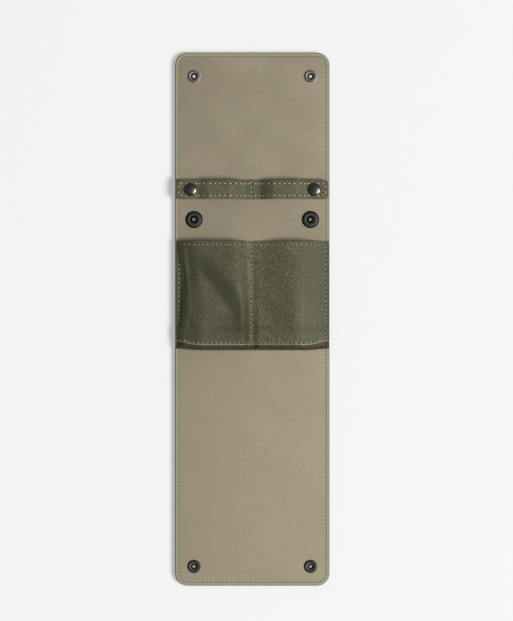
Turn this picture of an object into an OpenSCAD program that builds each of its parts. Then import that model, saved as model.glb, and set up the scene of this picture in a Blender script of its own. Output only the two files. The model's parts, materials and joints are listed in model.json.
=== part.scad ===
// Roll-up travel case for two watches, lying open with its suede lining up.
// A long leather panel carries a two-compartment pocket, a snap-down strap and
// three pairs of snap fasteners. The short flap folds down over the strap, the
// long flap folds up over the pocket, and both close on the same two studs.
// X runs across the panel, Y along it towards the short flap, Z up.

/* [Panel] */
// Width of the panel
panel_w = 110; // [100:1:125]
// Length of the panel, lying open
panel_len = 380; // [372:1:390]
// Radius of the panel's four corners
corner_r = 9; // [4:0.5:12]
// Thickness of the outer leather under the boards
outer_t = 1.3; // [1:0.1:1.6]
// Thickness of the stiffening boards
board_t = 0.9; // [0.8:0.1:1.2]
// Thickness of the suede lining
lining_t = 1; // [0.8:0.1:1.4]
// Sewn border round each board
border = 5; // [4:0.5:8]
// Radius of the boards' corners
board_r = 3; // [1:0.5:4]

/* [Folding] */
// Inner height of the closed roll over the pocket
roll_rise = 15; // [14:0.5:17]
// Slope of the long flap where it comes down to the studs
dive_deg = 45; // [42:1:48]
// Distance of each soft bend from the snaps beside it
bend_from_snap = 6.5; // [6.3:0.1:7.5]

/* [Snap places] */
// Distance of the two inner studs from the short flap's edge
stud_from_top = 119; // [117:0.5:121]
// Distance of the short flap's snaps from its edge
top_snap_from_edge = 17; // [16:0.5:18]
// Distance of the long flap's snaps from its edge
bottom_snap_from_edge = 13.8; // [13:0.1:15]
// Distance of the panel's snaps from its sides
snap_from_side = 13.5; // [12:0.5:16]

/* [Snap fasteners] */
// Gap that a closed snap keeps between the leathers it joins
snap_gap = 2.8; // [2.8:0.1:3.2]
// Diameter of a stud's flange
stud_d = 12.3; // [11:0.1:12.5]
// Height of a stud's flange
stud_flange_h = 0.8; // [0.7:0.05:0.9]
// Diameter of the dark groove round a stud's nub
stud_moat_d = 6.3; // [5.6:0.1:7]
// Diameter of a stud's nub
nub_d = 4.2; // [4:0.05:4.3]
// Depth of the groove that the spring grips in the nub
nub_neck = 0.25; // [0.2:0.05:0.3]
// Diameter of the hollow in the nub
nub_hollow_d = 2.4; // [2.2:0.1:2.6]
// Diameter of a socket's flange
socket_d = 9.5; // [8.8:0.1:10]
// Outer diameter of a socket's raised bead
bead_d = 7.6; // [7.2:0.1:8]
// Play between a nub and a socket's mouth, on the radius
mouth_play = 0.25; // [0.2:0.05:0.3]
// Thickness of a socket's floor
socket_floor = 0.2; // [0.2:0.05:0.3]
// Radial width of a socket's spring
spring_w = 0.55; // [0.5:0.05:0.6]
// Height of a socket's spring
spring_h = 0.3; // [0.2:0.05:0.35]
// Opening of the split spring
spring_split_deg = 40; // [20:5:60]
// Diameter of a cap's dome
cap_d = 9.4; // [8.8:0.1:10]
// Height of a cap's dome
cap_h = 1.6; // [1.2:0.1:1.9]
// Diameter of the posts that hold the snaps
post_d = 1.9; // [1.6:0.1:2]
// Diameter of a post's rolled-over end
roll_d = 2.3; // [2.1:0.05:2.3]
// Height of a post's rolled-over end
roll_h = 0.3; // [0.2:0.05:0.3]
// Diameter of the inner studs' post heads, hidden in the board
head_d = 9; // [7:0.5:10]
// Thickness of those heads
head_t = 0.6; // [0.5:0.05:0.7]

/* [Strap] */
// Width of the strap
strap_w = 13.5; // [12:0.1:14.5]
// Length of the strap
strap_len = 108.3; // [104:0.1:109]
// Thickness of each of the strap's two leathers
strap_leather = 1.2; // [1:0.1:1.3]
// Distance of the strap's snaps from its ends
strap_snap_from_end = 10.15; // [9:0.05:11]
// Half width of the part that is sewn down in the middle
strap_seat = 4; // [3:0.5:5]
// Length over which the strap rises from its middle
bow_rise = 13; // [9:0.5:15]
// Length over which it comes down to its snap
bow_fall = 9; // [6:0.5:11]
// Radius of the strap's corners
strap_r = 2.5; // [1.5:0.5:4]
// Space between the strap and the closed long flap
strap_gap = 0.65; // [0.5:0.05:1]

/* [Pocket] */
// Distance of the pocket's mouth below the inner studs
mouth_below_stud = 15; // [14.5:0.5:16.5]
// Length of the pocket's front, from mouth to bottom edge
pocket_len = 75.4; // [68:0.1:80]
// Thickness of the pocket's leather
pocket_t = 1.2; // [1:0.1:1.3]
// Set-back of the pocket's sides from the panel's sides
pocket_inset = 0.4; // [0:0.1:1]
// Width of the seam down each side
side_seam = 3.2; // [2.6:0.1:4]
// Place of the seam between the compartments, left of centre
divider_left = 1; // [0:0.5:4]
// Width of that seam
divider_w = 2.4; // [2:0.2:4]
// Width of the steep left wall
left_wall = 9; // [8.5:0.5:13]
// Width of the gentle slope on the right
right_wall = 17; // [14:1:24]
// Width of the left compartment's slope down to the middle seam
inner_slope = 18; // [14:1:22]
// Share of the right compartment, up to its right slope, over which it rises
right_rise_share = 0.94; // [0.5:0.01:0.96]
// How much lower the right compartment is than the left one
right_drop = 1.7; // [0:0.1:2.5]
// Inner height at the pocket's bottom edge
heel_h = 6.5; // [5:0.5:8]
// Reach of the bottom gusset below the pocket's front
gusset_reach = 3.4; // [3:0.1:4.5]
// Width of the gusset's turned-in edge under the front
gusset_lap = 4; // [3:0.5:4.4]

/* [Clearances] */
// Play of a post in its holes, on the radius
post_fit = 0.05; // [0.03:0.01:0.08]
// Axial gap between a seated nub or bead and what faces it
seat_gap = 0.1; // [0.1:0.02:0.16]
// Play of a board in the outer leather, and of a post's head in both
board_fit = 0.1; // [0.05:0.05:0.2]
// Play of a spring in its groove
spring_fit = 0.05; // [0.03:0.01:0.08]
// Space over the pocket's crown in the closed roll
crown_clear = 2.5; // [2:0.5:4]
// Space over the pocket's mouth in the closed roll
mouth_clear = 0.8; // [0.6:0.1:1.2]
// Space over the strap's bow in the closed roll
bow_clear = 0.7; // [0.5:0.1:1]
// Gap between the pocket's front and its gusset
lap_gap = 0.03; // [0.02:0.01:0.05]

/* [Hidden] */
$fn = 64;
eps = 0.01;

olive = [0.34, 0.34, 0.26];
olive_dark = [0.27, 0.27, 0.21];
suede = [0.60, 0.56, 0.48];
board_grey = [0.35, 0.33, 0.30];
gunmetal = [0.22, 0.23, 0.24];
bead_grey = [0.42, 0.43, 0.43];
post_bright = [0.72, 0.72, 0.70];
spring_tone = [0.62, 0.56, 0.40];

// Heights of the snap parts, each over the leather that it sits on
nub_h = snap_gap - socket_floor - roll_h - seat_gap;
bead_h = snap_gap - stud_flange_h - 2 * seat_gap;
moat_z = stud_flange_h / 2;
hollow_z = stud_flange_h + 0.1;
neck_z = (stud_flange_h + nub_h) / 2;
spring_z = snap_gap - neck_z;
nub_r = nub_d / 2;
mouth_r = nub_r + mouth_play;
spring_in_r = nub_r - nub_neck + 0.15;
post_r = post_d / 2;
stud_edge_h = 0.35;
rim_h = 0.35;

// Heights in the part's own frame: the outer studs' nubs touch the ground
panel_t = outer_t + board_t + lining_t;
z_outer = nub_h;
z_lining = z_outer + panel_t - lining_t;
z_top = z_outer + panel_t;

// Rows along the panel, to a hundredth so that neighbouring strips meet exactly
function to_hundredth(v) = round(100 * v) / 100;
end_y = panel_len / 2;
side_x = panel_w / 2;
stud_y = end_y - stud_from_top;
snap_x = side_x - snap_from_side;
top_snap_y = end_y - top_snap_from_edge;
bottom_snap_y = bottom_snap_from_edge - end_y;

// Folds of the short flap: it closes over two snaps and the long flap's edge
top_rise = panel_t + 2 * snap_gap;
top_fold_1 = to_hundredth((stud_y + top_snap_y - top_rise) / 2);
top_fold_2 = top_fold_1 + top_rise;
top_bend = top_snap_y + bend_from_snap;

// Folds of the long flap: over the pocket, then down to the studs
dip_len = (roll_rise - snap_gap - panel_t * (1 - cos(dive_deg))) / sin(dive_deg);
dip_run = dip_len * cos(dive_deg) + panel_t * sin(dive_deg);
edge_bend = bottom_snap_y + bend_from_snap;
dip_bend = to_hundredth(edge_bend + dip_len);
dip_closed_y = stud_y - bend_from_snap - dip_run;
bottom_fold_1 = to_hundredth((dip_bend + dip_closed_y + roll_rise) / 2);
bottom_fold_2 = bottom_fold_1 - roll_rise;

// Strap
strap_y = stud_y + bottom_snap_from_edge + strap_gap + strap_w / 2;
strap_t = 2 * strap_leather;
strap_end_x = strap_len / 2;
strap_snap_x = strap_end_x - strap_snap_from_end;
bow_h = top_rise - strap_t - bow_clear;
bow_end = strap_snap_x - socket_d / 2 - 0.25 - bow_fall;

// Pocket
mouth_y = stud_y - mouth_below_stud;
mouth_h = roll_rise - (mouth_y - dip_closed_y) * tan(dive_deg) - pocket_t - mouth_clear;
crown_h = roll_rise - pocket_t - crown_clear;
pocket_x = side_x - pocket_inset;
seam_x = pocket_x - side_seam;
valley_left = -divider_left - divider_w / 2;
valley_right = -divider_left + divider_w / 2;
right_rise = right_rise_share * (seam_x - right_wall - valley_right);
heel_y = mouth_y - pocket_len;
lap_share = gusset_lap / pocket_len;
lift = pocket_t + lap_gap;

// Cosine step from 0 to 1, its slope, and evenly spaced stations
function ramp(t) = t <= 0 ? 0 : t >= 1 ? 1 : (1 - cos(180 * t)) / 2;
function steepness(t) = t <= 0 || t >= 1 ? 0 : PI / 2 * sin(180 * t);
function span(a, b, n) = [for (i = [0:n - 1]) a + (b - a) * i / n];

// Flat pieces of the panel
module panel_plan() {
    square([panel_w - 2 * corner_r, panel_len], center = true);
    square([panel_w, panel_len - 2 * corner_r], center = true);
    for (sx = [-1, 1], sy = [-1, 1])
        translate([sx * (side_x - corner_r), sy * (end_y - corner_r)])
            circle(r = corner_r);
}

module panel_strip(y0, y1, z, t) {
    translate([0, 0, z])
        linear_extrude(t)
            intersection() {
                panel_plan();
                translate([-side_x, y0])
                    square([panel_w, y1 - y0]);
            }
}

module board_slab(y0, y1, grow, z, t) {
    x = side_x - border + grow;
    r = board_r + grow;
    low = y0 + border / 2 - grow;
    high = y1 - border / 2 + grow;
    translate([0, 0, z])
        linear_extrude(t) {
            translate([-x + r, low])
                square([2 * (x - r), high - low]);
            translate([-x, low + r])
                square([2 * x, high - low - 2 * r]);
            for (sx = [-1, 1], cy = [low + r, high - r])
                translate([sx * (x - r), cy])
                    circle(r = r);
        }
}

module post_holes(x, y, r) {
    for (sx = [-1, 1])
        translate([sx * x, y, z_outer - 1])
            cylinder(r = r, h = panel_t + 2);
}

// Outer leather, hollowed for a board
module tray(y0, y1) {
    difference() {
        panel_strip(y0, y1, z_outer, outer_t + board_t);
        board_slab(y0, y1, board_fit, z_outer + outer_t, board_t + 1);
    }
}

// Snap parts stand on z = 0, with their leather below
module stud() {
    moat_r = stud_moat_d / 2;
    moat_in = nub_r + 0.15;
    flange_w = stud_d / 2 - moat_r;
    rotate_extrude()
        polygon(concat(
            [[post_r + post_fit, 0], [stud_d / 2 - 0.1, 0], [stud_d / 2, 0.1]],
            [for (a = [0:15:90]) [
                stud_d / 2 - flange_w * (1 - cos(a)) * 0.9,
                stud_edge_h + (stud_flange_h - stud_edge_h) * sin(a)
            ]],
            [[moat_r, stud_flange_h - 0.05], [moat_r - 0.1, moat_z], [moat_in, moat_z]],
            [[nub_r, moat_z + 0.15], [nub_r, neck_z - 0.3]],
            [[nub_r - nub_neck, neck_z - 0.18], [nub_r - nub_neck, neck_z + 0.18]],
            [[nub_r, neck_z + 0.3], [nub_r, nub_h - 0.25]],
            [[nub_r - 0.12, nub_h - 0.07], [nub_r - 0.35, nub_h]],
            [[nub_hollow_d / 2 + 0.1, nub_h], [nub_hollow_d / 2, nub_h - 0.1]],
            [[nub_hollow_d / 2, hollow_z], [post_r + post_fit, hollow_z]]
        ));
}

module socket() {
    bead_r = bead_d / 2;
    bead_mid = bead_r - 0.45;
    groove_r = spring_in_r + spring_w + spring_fit;
    groove_h = spring_h / 2 + spring_fit;
    rotate_extrude()
        polygon(concat(
            [[post_r + post_fit, 0], [socket_d / 2, 0], [socket_d / 2, rim_h - 0.1]],
            [[socket_d / 2 - 0.1, rim_h], [bead_r + 0.15, rim_h + 0.1], [bead_r, rim_h + 0.3]],
            [for (a = [0:18:90]) [bead_mid + 0.45 * cos(a), bead_h - 0.45 * (1 - sin(a))]],
            [[mouth_r + 0.4, bead_h - 0.08], [mouth_r, spring_z + groove_h + 0.12]],
            [[mouth_r, spring_z + groove_h], [groove_r, spring_z + groove_h]],
            [[groove_r, spring_z - groove_h], [mouth_r, spring_z - groove_h]],
            [[mouth_r, socket_floor], [post_r + post_fit, socket_floor]]
        ));
}

module spring() {
    translate([0, 0, spring_z - spring_h / 2])
        rotate(spring_split_deg / 2)
            rotate_extrude(angle = 360 - spring_split_deg)
                translate([spring_in_r, 0])
                    square([spring_w, spring_h]);
}

// Rolled-over end of a post, resting at z = 0
module rolled_end() {
    r = roll_d / 2;
    rotate_extrude()
        polygon([
            [0, -eps], [post_r, -eps], [post_r, 0], [r - 0.08, 0], [r, 0.08],
            [r, roll_h - 0.1], [r - 0.12, roll_h], [r - 0.45, roll_h],
            [0.45, roll_h / 3], [0, roll_h / 3]
        ]);
}

module dome() {
    edge = 0.4;
    rotate_extrude()
        polygon(concat(
            [[0, 0], [cap_d / 2 - 0.15, 0], [cap_d / 2, 0.15], [cap_d / 2, edge]],
            [for (a = [10:10:80]) [cap_d / 2 * cos(a), edge + (cap_h - edge) * sin(a)]],
            [[0, cap_h]]
        ));
}

// Post from a wide head inside the panel up into a stud's hollow
module stud_post() {
    translate([0, 0, -lining_t - head_t])
        cylinder(d = head_d, h = head_t);
    translate([0, 0, -lining_t - eps])
        cylinder(r = post_r, h = lining_t + hollow_z + eps);
    translate([0, 0, hollow_z])
        rolled_end();
}

// Dome on the far side of the leather, its post rolled over in a socket
module cap(grip) {
    translate([0, 0, -grip])
        mirror([0, 0, 1])
            dome();
    translate([0, 0, -grip - eps])
        cylinder(r = post_r, h = grip + socket_floor + 2 * eps);
    translate([0, 0, socket_floor])
        rolled_end();
}

// Post rolled over in a socket on one side and in a stud on the other
module double_post(grip) {
    translate([0, 0, -grip - hollow_z])
        cylinder(r = post_r, h = grip + hollow_z + socket_floor);
    translate([0, 0, socket_floor])
        rolled_end();
    translate([0, 0, -grip - hollow_z])
        mirror([0, 0, 1])
            rolled_end();
}

// Places of the snaps: on the lining, facing up
module on_lining(x, y) {
    translate([x, y, z_top])
        children();
}

module under_panel(x, y) {
    translate([x, y, z_outer])
        mirror([0, 0, 1])
            children();
}

module under_strap(x) {
    translate([x, strap_y, z_top + snap_gap])
        mirror([0, 0, 1])
            children();
}

// Strap: side view as a band over the lining, then cut to its plan
function strap_rise(x) =
    bow_h * ramp((x - strap_seat) / bow_rise)
    - (bow_h - snap_gap) * ramp((x - bow_end) / bow_fall);
function strap_slope(x) =
    bow_h * steepness((x - strap_seat) / bow_rise) / bow_rise
    - (bow_h - snap_gap) * steepness((x - bow_end) / bow_fall) / bow_fall;
function strap_point(x, over) =
    let (s = strap_slope(x), k = sqrt(1 + s * s))
    [x - over * s / k, strap_rise(x) + over / k];

module strap_side_view(low, high) {
    stations = concat(
        span(strap_seat, strap_seat + bow_rise, 10),
        span(strap_seat + bow_rise, bow_end, 1),
        span(bow_end, bow_end + bow_fall, 8),
        [bow_end + bow_fall, strap_end_x]
    );
    n = len(stations) - 1;
    polygon(concat(
        [for (i = [0:n]) strap_point(stations[i], low)],
        [for (i = [n:-1:0]) strap_point(stations[i], high)]
    ));
}

module strap_plan() {
    translate([0, -strap_w / 2])
        square([strap_end_x - strap_r, strap_w]);
    translate([0, -strap_w / 2 + strap_r])
        square([strap_end_x, strap_w - 2 * strap_r]);
    for (s = [-1, 1])
        translate([strap_end_x - strap_r, s * (strap_w / 2 - strap_r)])
            circle(r = strap_r);
}

module strap_band(low, high) {
    translate([0, strap_y, z_top])
        difference() {
            intersection() {
                translate([0, strap_w / 2 + 1, 0])
                    rotate([90, 0, 0])
                        linear_extrude(strap_w + 2)
                            strap_side_view(low, high);
                translate([0, 0, -1])
                    linear_extrude(bow_h + strap_t + 2)
                        strap_plan();
            }
            translate([strap_snap_x, 0, 0])
                cylinder(r = post_r + post_fit, h = bow_h + strap_t);
        }
}

module strap_middle(z) {
    translate([-strap_seat, strap_y - strap_w / 2, z_top + z])
        cube([2 * strap_seat, strap_w, strap_leather]);
}

// A closed sheet between two grids of points of the same size
module sheet(upper, lower) {
    ni = len(upper);
    nj = len(upper[0]);
    half = ni * nj;
    points = concat(
        [for (row = upper) each row],
        [for (row = lower) each row]
    );
    up = [for (i = [0:ni - 2], j = [0:nj - 2])
        let (a = i * nj + j, b = a + nj)
        each [[a, a + 1, b + 1], [a, b + 1, b]]];
    down = [for (i = [0:ni - 2], j = [0:nj - 2])
        let (a = half + i * nj + j, b = a + nj)
        each [[a, b + 1, a + 1], [a, b, b + 1]]];
    rim = concat(
        [for (i = [0:ni - 2]) [i * nj, (i + 1) * nj]],
        [for (j = [0:nj - 2]) [(ni - 1) * nj + j, (ni - 1) * nj + j + 1]],
        [for (i = [0:ni - 2]) [(i + 2) * nj - 1, (i + 1) * nj - 1]],
        [for (j = [0:nj - 2]) [j + 1, j]]
    );
    wall = [for (e = rim)
        each [[e[0], e[1], half + e[1]], [e[0], half + e[1], half + e[0]]]];
    polyhedron(points = points, faces = concat(up, down, wall));
}

// Pocket: inner height over the lining at x and at share v from mouth to heel
function lobe(x) = x < -divider_left
    ? ramp((x + seam_x) / left_wall) * ramp((valley_left - x) / inner_slope)
    : ramp((x - valley_right) / right_rise) * ramp((seam_x - x) / right_wall);
function crown(x, v) =
    let (top = x < -divider_left ? crown_h : crown_h - right_drop)
    mouth_h
    + (top - mouth_h) * ramp(v / 0.36)
    - (top - heel_h) * ramp((v - 0.62) / 0.38);
function inner_z(x, v) =
    lobe(x) * crown(x, v) + lift * ramp((v - 0.98 + 2.5 * lap_share) / (1.3 * lap_share));
function slope_x(x, v) = (inner_z(x + eps, v) - inner_z(x - eps, v)) / (2 * eps);
function slope_y(x, v) = (inner_z(x, v - eps) - inner_z(x, v + eps)) / (2 * eps * pocket_len);
function pocket_point(x, v, over) =
    let (sx = slope_x(x, v), sy = slope_y(x, v), k = sqrt(1 + sx * sx + sy * sy))
    [
        x - over * sx / k,
        mouth_y - v * pocket_len - over * sy / k,
        z_top + inner_z(x, v) + over / k
    ];

pocket_stations = concat(
    [-pocket_x],
    span(-seam_x, left_wall - seam_x, 7),
    span(left_wall - seam_x, valley_left - inner_slope, 3),
    span(valley_left - inner_slope, valley_left, 6),
    [valley_left],
    span(valley_right, valley_right + right_rise, 7),
    span(valley_right + right_rise, seam_x - right_wall, 1),
    span(seam_x - right_wall, seam_x, 6),
    [seam_x, pocket_x]
);
pocket_shares = concat(
    span(0, 0.36, 4),
    span(0.36, 0.62, 2),
    span(0.62, 0.98 - 2.5 * lap_share, 3),
    span(0.98 - 2.5 * lap_share, 1 - lap_share, 3),
    [1 - lap_share, 1]
);

module pocket_sheet() {
    sheet(
        [for (x = pocket_stations) [for (v = pocket_shares) pocket_point(x, v, pocket_t)]],
        [for (x = pocket_stations) [for (v = pocket_shares) pocket_point(x, v, 0)]]
    );
}

// Gusset: turned in under the front, down its wall, then out as a sewn foot
function heel_z(x) = inner_z(x, 1) - lap_gap;
function wall_out(x) = let (h = heel_z(x)) [
    [x, heel_y + gusset_lap, z_top + h],
    [x, heel_y - 0.3, z_top + h],
    [x, heel_y - 0.8, z_top + h - 0.3 * (h - pocket_t) / heel_h - eps],
    [x, heel_y - 1.3, z_top + (h + pocket_t) / 2],
    [x, heel_y - 1.7, z_top + pocket_t],
    [x, heel_y - gusset_reach, z_top + pocket_t]
];
function wall_in(x) = let (h = heel_z(x), low = h - pocket_t) [
    [x, heel_y + gusset_lap, z_top + low],
    [x, heel_y + 0.9, z_top + low],
    [x, heel_y + 0.4, z_top + 0.93 * low],
    [x, heel_y - 0.1, z_top + 0.5 * low],
    [x, heel_y - 0.5, z_top],
    [x, heel_y - gusset_reach, z_top]
];

module gusset_sheet() {
    sheet(
        [for (x = pocket_stations) wall_out(x)],
        [for (x = pocket_stations) wall_in(x)]
    );
}

// Base of the panel
module head_seats(x, y) {
    for (sx = [-1, 1])
        translate([sx * x, y, z_outer + outer_t])
            cylinder(r = head_d / 2 + board_fit, h = board_t + 1);
}

module outer_base() {
    color(olive)
        difference() {
            tray(bottom_fold_1, top_fold_1);
            head_seats(snap_x, stud_y);
            head_seats(strap_snap_x, strap_y);
        }
}

module board_base() {
    color(board_grey)
        difference() {
            board_slab(bottom_fold_1, top_fold_1, 0, z_outer + outer_t, board_t);
            post_holes(snap_x, stud_y, head_d / 2 + board_fit);
            post_holes(strap_snap_x, strap_y, head_d / 2 + board_fit);
        }
}

module lining_base() {
    color(suede)
        difference() {
            panel_strip(bottom_fold_1, top_fold_1, z_lining, lining_t);
            post_holes(snap_x, stud_y, post_r + post_fit);
            post_holes(strap_snap_x, strap_y, post_r + post_fit);
        }
}

module pocket_front() { color(olive) pocket_sheet(); }
module pocket_gusset() { color(olive_dark) gusset_sheet(); }
module strap_middle_face() { color(olive) strap_middle(strap_leather); }
module strap_middle_back() { color(olive_dark) strap_middle(0); }
module stud_mid(side) { color(gunmetal) on_lining(side * snap_x, stud_y) stud(); }
module post_mid(side) { color(post_bright) on_lining(side * snap_x, stud_y) stud_post(); }
module stud_strap(side) { color(gunmetal) on_lining(side * strap_snap_x, strap_y) stud(); }
module post_strap(side) { color(post_bright) on_lining(side * strap_snap_x, strap_y) stud_post(); }

// Strap halves, the left one mirrored
module strap_face(side) {
    color(olive)
        mirror([side < 0 ? 1 : 0, 0, 0])
            strap_band(strap_leather, strap_t);
}

module strap_back(side) {
    color(olive_dark)
        mirror([side < 0 ? 1 : 0, 0, 0])
            strap_band(0, strap_leather);
}

module cap_strap(side) { color(gunmetal) under_strap(side * strap_snap_x) cap(strap_t); }
module socket_strap(side) { color(bead_grey) under_strap(side * strap_snap_x) socket(); }
module spring_strap(side) { color(spring_tone) under_strap(side * strap_snap_x) spring(); }

// Short flap
module outer_top_spine() { color(olive) panel_strip(top_fold_1, top_fold_2, z_outer, outer_t + board_t); }
module lining_top_spine() { color(suede) panel_strip(top_fold_1, top_fold_2, z_lining, lining_t); }

module outer_top_flap() {
    color(olive)
        difference() {
            tray(top_fold_2, top_bend);
            post_holes(snap_x, top_snap_y, post_r + post_fit);
        }
}

module board_top_flap() {
    color(board_grey)
        difference() {
            board_slab(top_fold_2, top_bend, 0, z_outer + outer_t, board_t);
            post_holes(snap_x, top_snap_y, post_r + post_fit);
        }
}

module lining_top_flap() {
    color(suede)
        difference() {
            panel_strip(top_fold_2, top_bend, z_lining, lining_t);
            post_holes(snap_x, top_snap_y, post_r + post_fit);
        }
}

module cap_top(side) { color(gunmetal) on_lining(side * snap_x, top_snap_y) cap(panel_t); }
module socket_top(side) { color(bead_grey) on_lining(side * snap_x, top_snap_y) socket(); }
module spring_top(side) { color(spring_tone) on_lining(side * snap_x, top_snap_y) spring(); }
module outer_top_edge() { color(olive) panel_strip(top_bend, end_y, z_outer, outer_t + board_t); }
module lining_top_edge() { color(suede) panel_strip(top_bend, end_y, z_lining, lining_t); }

// Long flap
module outer_bottom_spine() { color(olive) panel_strip(bottom_fold_2, bottom_fold_1, z_outer, outer_t + board_t); }
module lining_bottom_spine() { color(suede) panel_strip(bottom_fold_2, bottom_fold_1, z_lining, lining_t); }
module outer_bottom_flap() { color(olive) tray(dip_bend, bottom_fold_2); }
module board_bottom_flap() { color(board_grey) board_slab(dip_bend, bottom_fold_2, 0, z_outer + outer_t, board_t); }
module lining_bottom_flap() { color(suede) panel_strip(dip_bend, bottom_fold_2, z_lining, lining_t); }
module outer_bottom_dip() { color(olive) panel_strip(edge_bend, dip_bend, z_outer, outer_t + board_t); }
module lining_bottom_dip() { color(suede) panel_strip(edge_bend, dip_bend, z_lining, lining_t); }

module outer_bottom_edge() {
    color(olive)
        difference() {
            panel_strip(-end_y, edge_bend, z_outer, outer_t + board_t);
            post_holes(snap_x, bottom_snap_y, post_r + post_fit);
        }
}

module lining_bottom_edge() {
    color(suede)
        difference() {
            panel_strip(-end_y, edge_bend, z_lining, lining_t);
            post_holes(snap_x, bottom_snap_y, post_r + post_fit);
        }
}

module stud_bottom(side) { color(gunmetal) under_panel(side * snap_x, bottom_snap_y) stud(); }
module post_bottom(side) { color(post_bright) on_lining(side * snap_x, bottom_snap_y) double_post(panel_t); }
module socket_bottom(side) { color(bead_grey) on_lining(side * snap_x, bottom_snap_y) socket(); }
module spring_bottom(side) { color(spring_tone) on_lining(side * snap_x, bottom_snap_y) spring(); }

outer_base();
board_base();
lining_base();
pocket_front();
pocket_gusset();
strap_middle_face();
strap_middle_back();
stud_mid(-1);  // stud_mid_left
stud_mid(1);  // stud_mid_right
post_mid(-1);  // post_mid_left
post_mid(1);  // post_mid_right
stud_strap(-1);  // stud_strap_left
stud_strap(1);  // stud_strap_right
post_strap(-1);  // post_strap_left
post_strap(1);  // post_strap_right
strap_face(-1);  // strap_left_face
strap_back(-1);  // strap_left_back
cap_strap(-1);  // cap_strap_left
socket_strap(-1);  // socket_strap_left
spring_strap(-1);  // spring_strap_left
strap_face(1);  // strap_right_face
strap_back(1);  // strap_right_back
cap_strap(1);  // cap_strap_right
socket_strap(1);  // socket_strap_right
spring_strap(1);  // spring_strap_right
outer_top_spine();
lining_top_spine();
outer_top_flap();
board_top_flap();
lining_top_flap();
cap_top(-1);  // cap_top_left
socket_top(-1);  // socket_top_left
spring_top(-1);  // spring_top_left
cap_top(1);  // cap_top_right
socket_top(1);  // socket_top_right
spring_top(1);  // spring_top_right
outer_top_edge();
lining_top_edge();
outer_bottom_spine();
lining_bottom_spine();
outer_bottom_flap();
board_bottom_flap();
lining_bottom_flap();
outer_bottom_dip();
lining_bottom_dip();
outer_bottom_edge();
lining_bottom_edge();
stud_bottom(-1);  // stud_bottom_left
post_bottom(-1);  // post_bottom_left
socket_bottom(-1);  // socket_bottom_left
spring_bottom(-1);  // spring_bottom_left
stud_bottom(1);  // stud_bottom_right
post_bottom(1);  // post_bottom_right
socket_bottom(1);  // socket_bottom_right
spring_bottom(1);  // spring_bottom_right
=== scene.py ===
"""Watch roll lying open: a suede-lined leather panel with a divided pocket, a strap and two snap flaps.

Lengths are in metres, with MM for a millimetre, except in the pocket, which is laid out in millimetres.
"""

import json
import logging
import math
from collections.abc import Callable, Sequence
from dataclasses import dataclass, field
from enum import Enum
from typing import Any

import bmesh
import bpy
import numpy as np
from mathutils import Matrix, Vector


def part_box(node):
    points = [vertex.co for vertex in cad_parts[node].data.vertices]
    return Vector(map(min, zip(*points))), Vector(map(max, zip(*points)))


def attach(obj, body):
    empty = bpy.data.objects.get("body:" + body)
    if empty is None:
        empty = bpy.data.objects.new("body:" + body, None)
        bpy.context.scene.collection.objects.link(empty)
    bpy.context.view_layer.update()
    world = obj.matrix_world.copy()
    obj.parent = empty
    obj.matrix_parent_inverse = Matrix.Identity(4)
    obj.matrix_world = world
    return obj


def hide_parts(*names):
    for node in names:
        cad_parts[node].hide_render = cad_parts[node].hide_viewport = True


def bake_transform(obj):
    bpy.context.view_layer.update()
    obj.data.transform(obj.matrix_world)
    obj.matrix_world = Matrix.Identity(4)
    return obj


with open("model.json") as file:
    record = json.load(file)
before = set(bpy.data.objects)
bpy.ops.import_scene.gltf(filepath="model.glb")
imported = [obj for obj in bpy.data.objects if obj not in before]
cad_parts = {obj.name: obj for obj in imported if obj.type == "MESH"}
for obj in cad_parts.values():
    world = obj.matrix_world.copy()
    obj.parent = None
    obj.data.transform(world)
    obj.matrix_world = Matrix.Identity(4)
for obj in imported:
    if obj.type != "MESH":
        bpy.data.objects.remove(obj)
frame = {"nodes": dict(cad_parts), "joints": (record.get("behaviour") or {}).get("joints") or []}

log = logging.getLogger("watch_roll")
MM = 0.001
Colour = tuple[float, float, float, float]


def srgb(red: int, green: int, blue: int) -> Colour:
    """Turns a colour as a screen shows it into the linear one that shaders take.

    Args:
        red: Red from 0 to 255.
        green: Green from 0 to 255.
        blue: Blue from 0 to 255.

    Returns:
        Linear red, green and blue, and a full alpha.
    """
    part = [c / 255 for c in (red, green, blue)]
    line = [c / 12.92 if c <= 0.04045 else ((c + 0.055) / 1.055) ** 2.4 for c in part]
    return (line[0], line[1], line[2], 1.0)


def ramp(t: np.ndarray | float) -> np.ndarray:
    """Cosine step from 0 to 1, held flat outside that span.

    Args:
        t: Place along the step.

    Returns:
        Height of the step there.
    """
    return (1 - np.cos(np.pi * np.clip(t, 0, 1))) / 2


def slant(t: np.ndarray | float, soft: np.ndarray | float) -> np.ndarray:
    """Step from 0 to 1 that is straight in its middle and rounded at both ends.

    Args:
        t: Place along the step.
        soft: Share of the step that each rounding takes, up to 0.5.

    Returns:
        Height of the step there.
    """
    t = np.clip(t, 0, 1)
    middle = (t - soft / 2) / (1 - soft)
    start = t ** 2 / (2 * soft * (1 - soft))
    end = 1 - (1 - t) ** 2 / (2 * soft * (1 - soft))
    return np.where(t < soft, start, np.where(t > 1 - soft, end, middle))


class Side(Enum):
    """The two sides of the panel, each with the direction in which its seam faces."""

    LINING = 1
    OUTSIDE = -1


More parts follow.
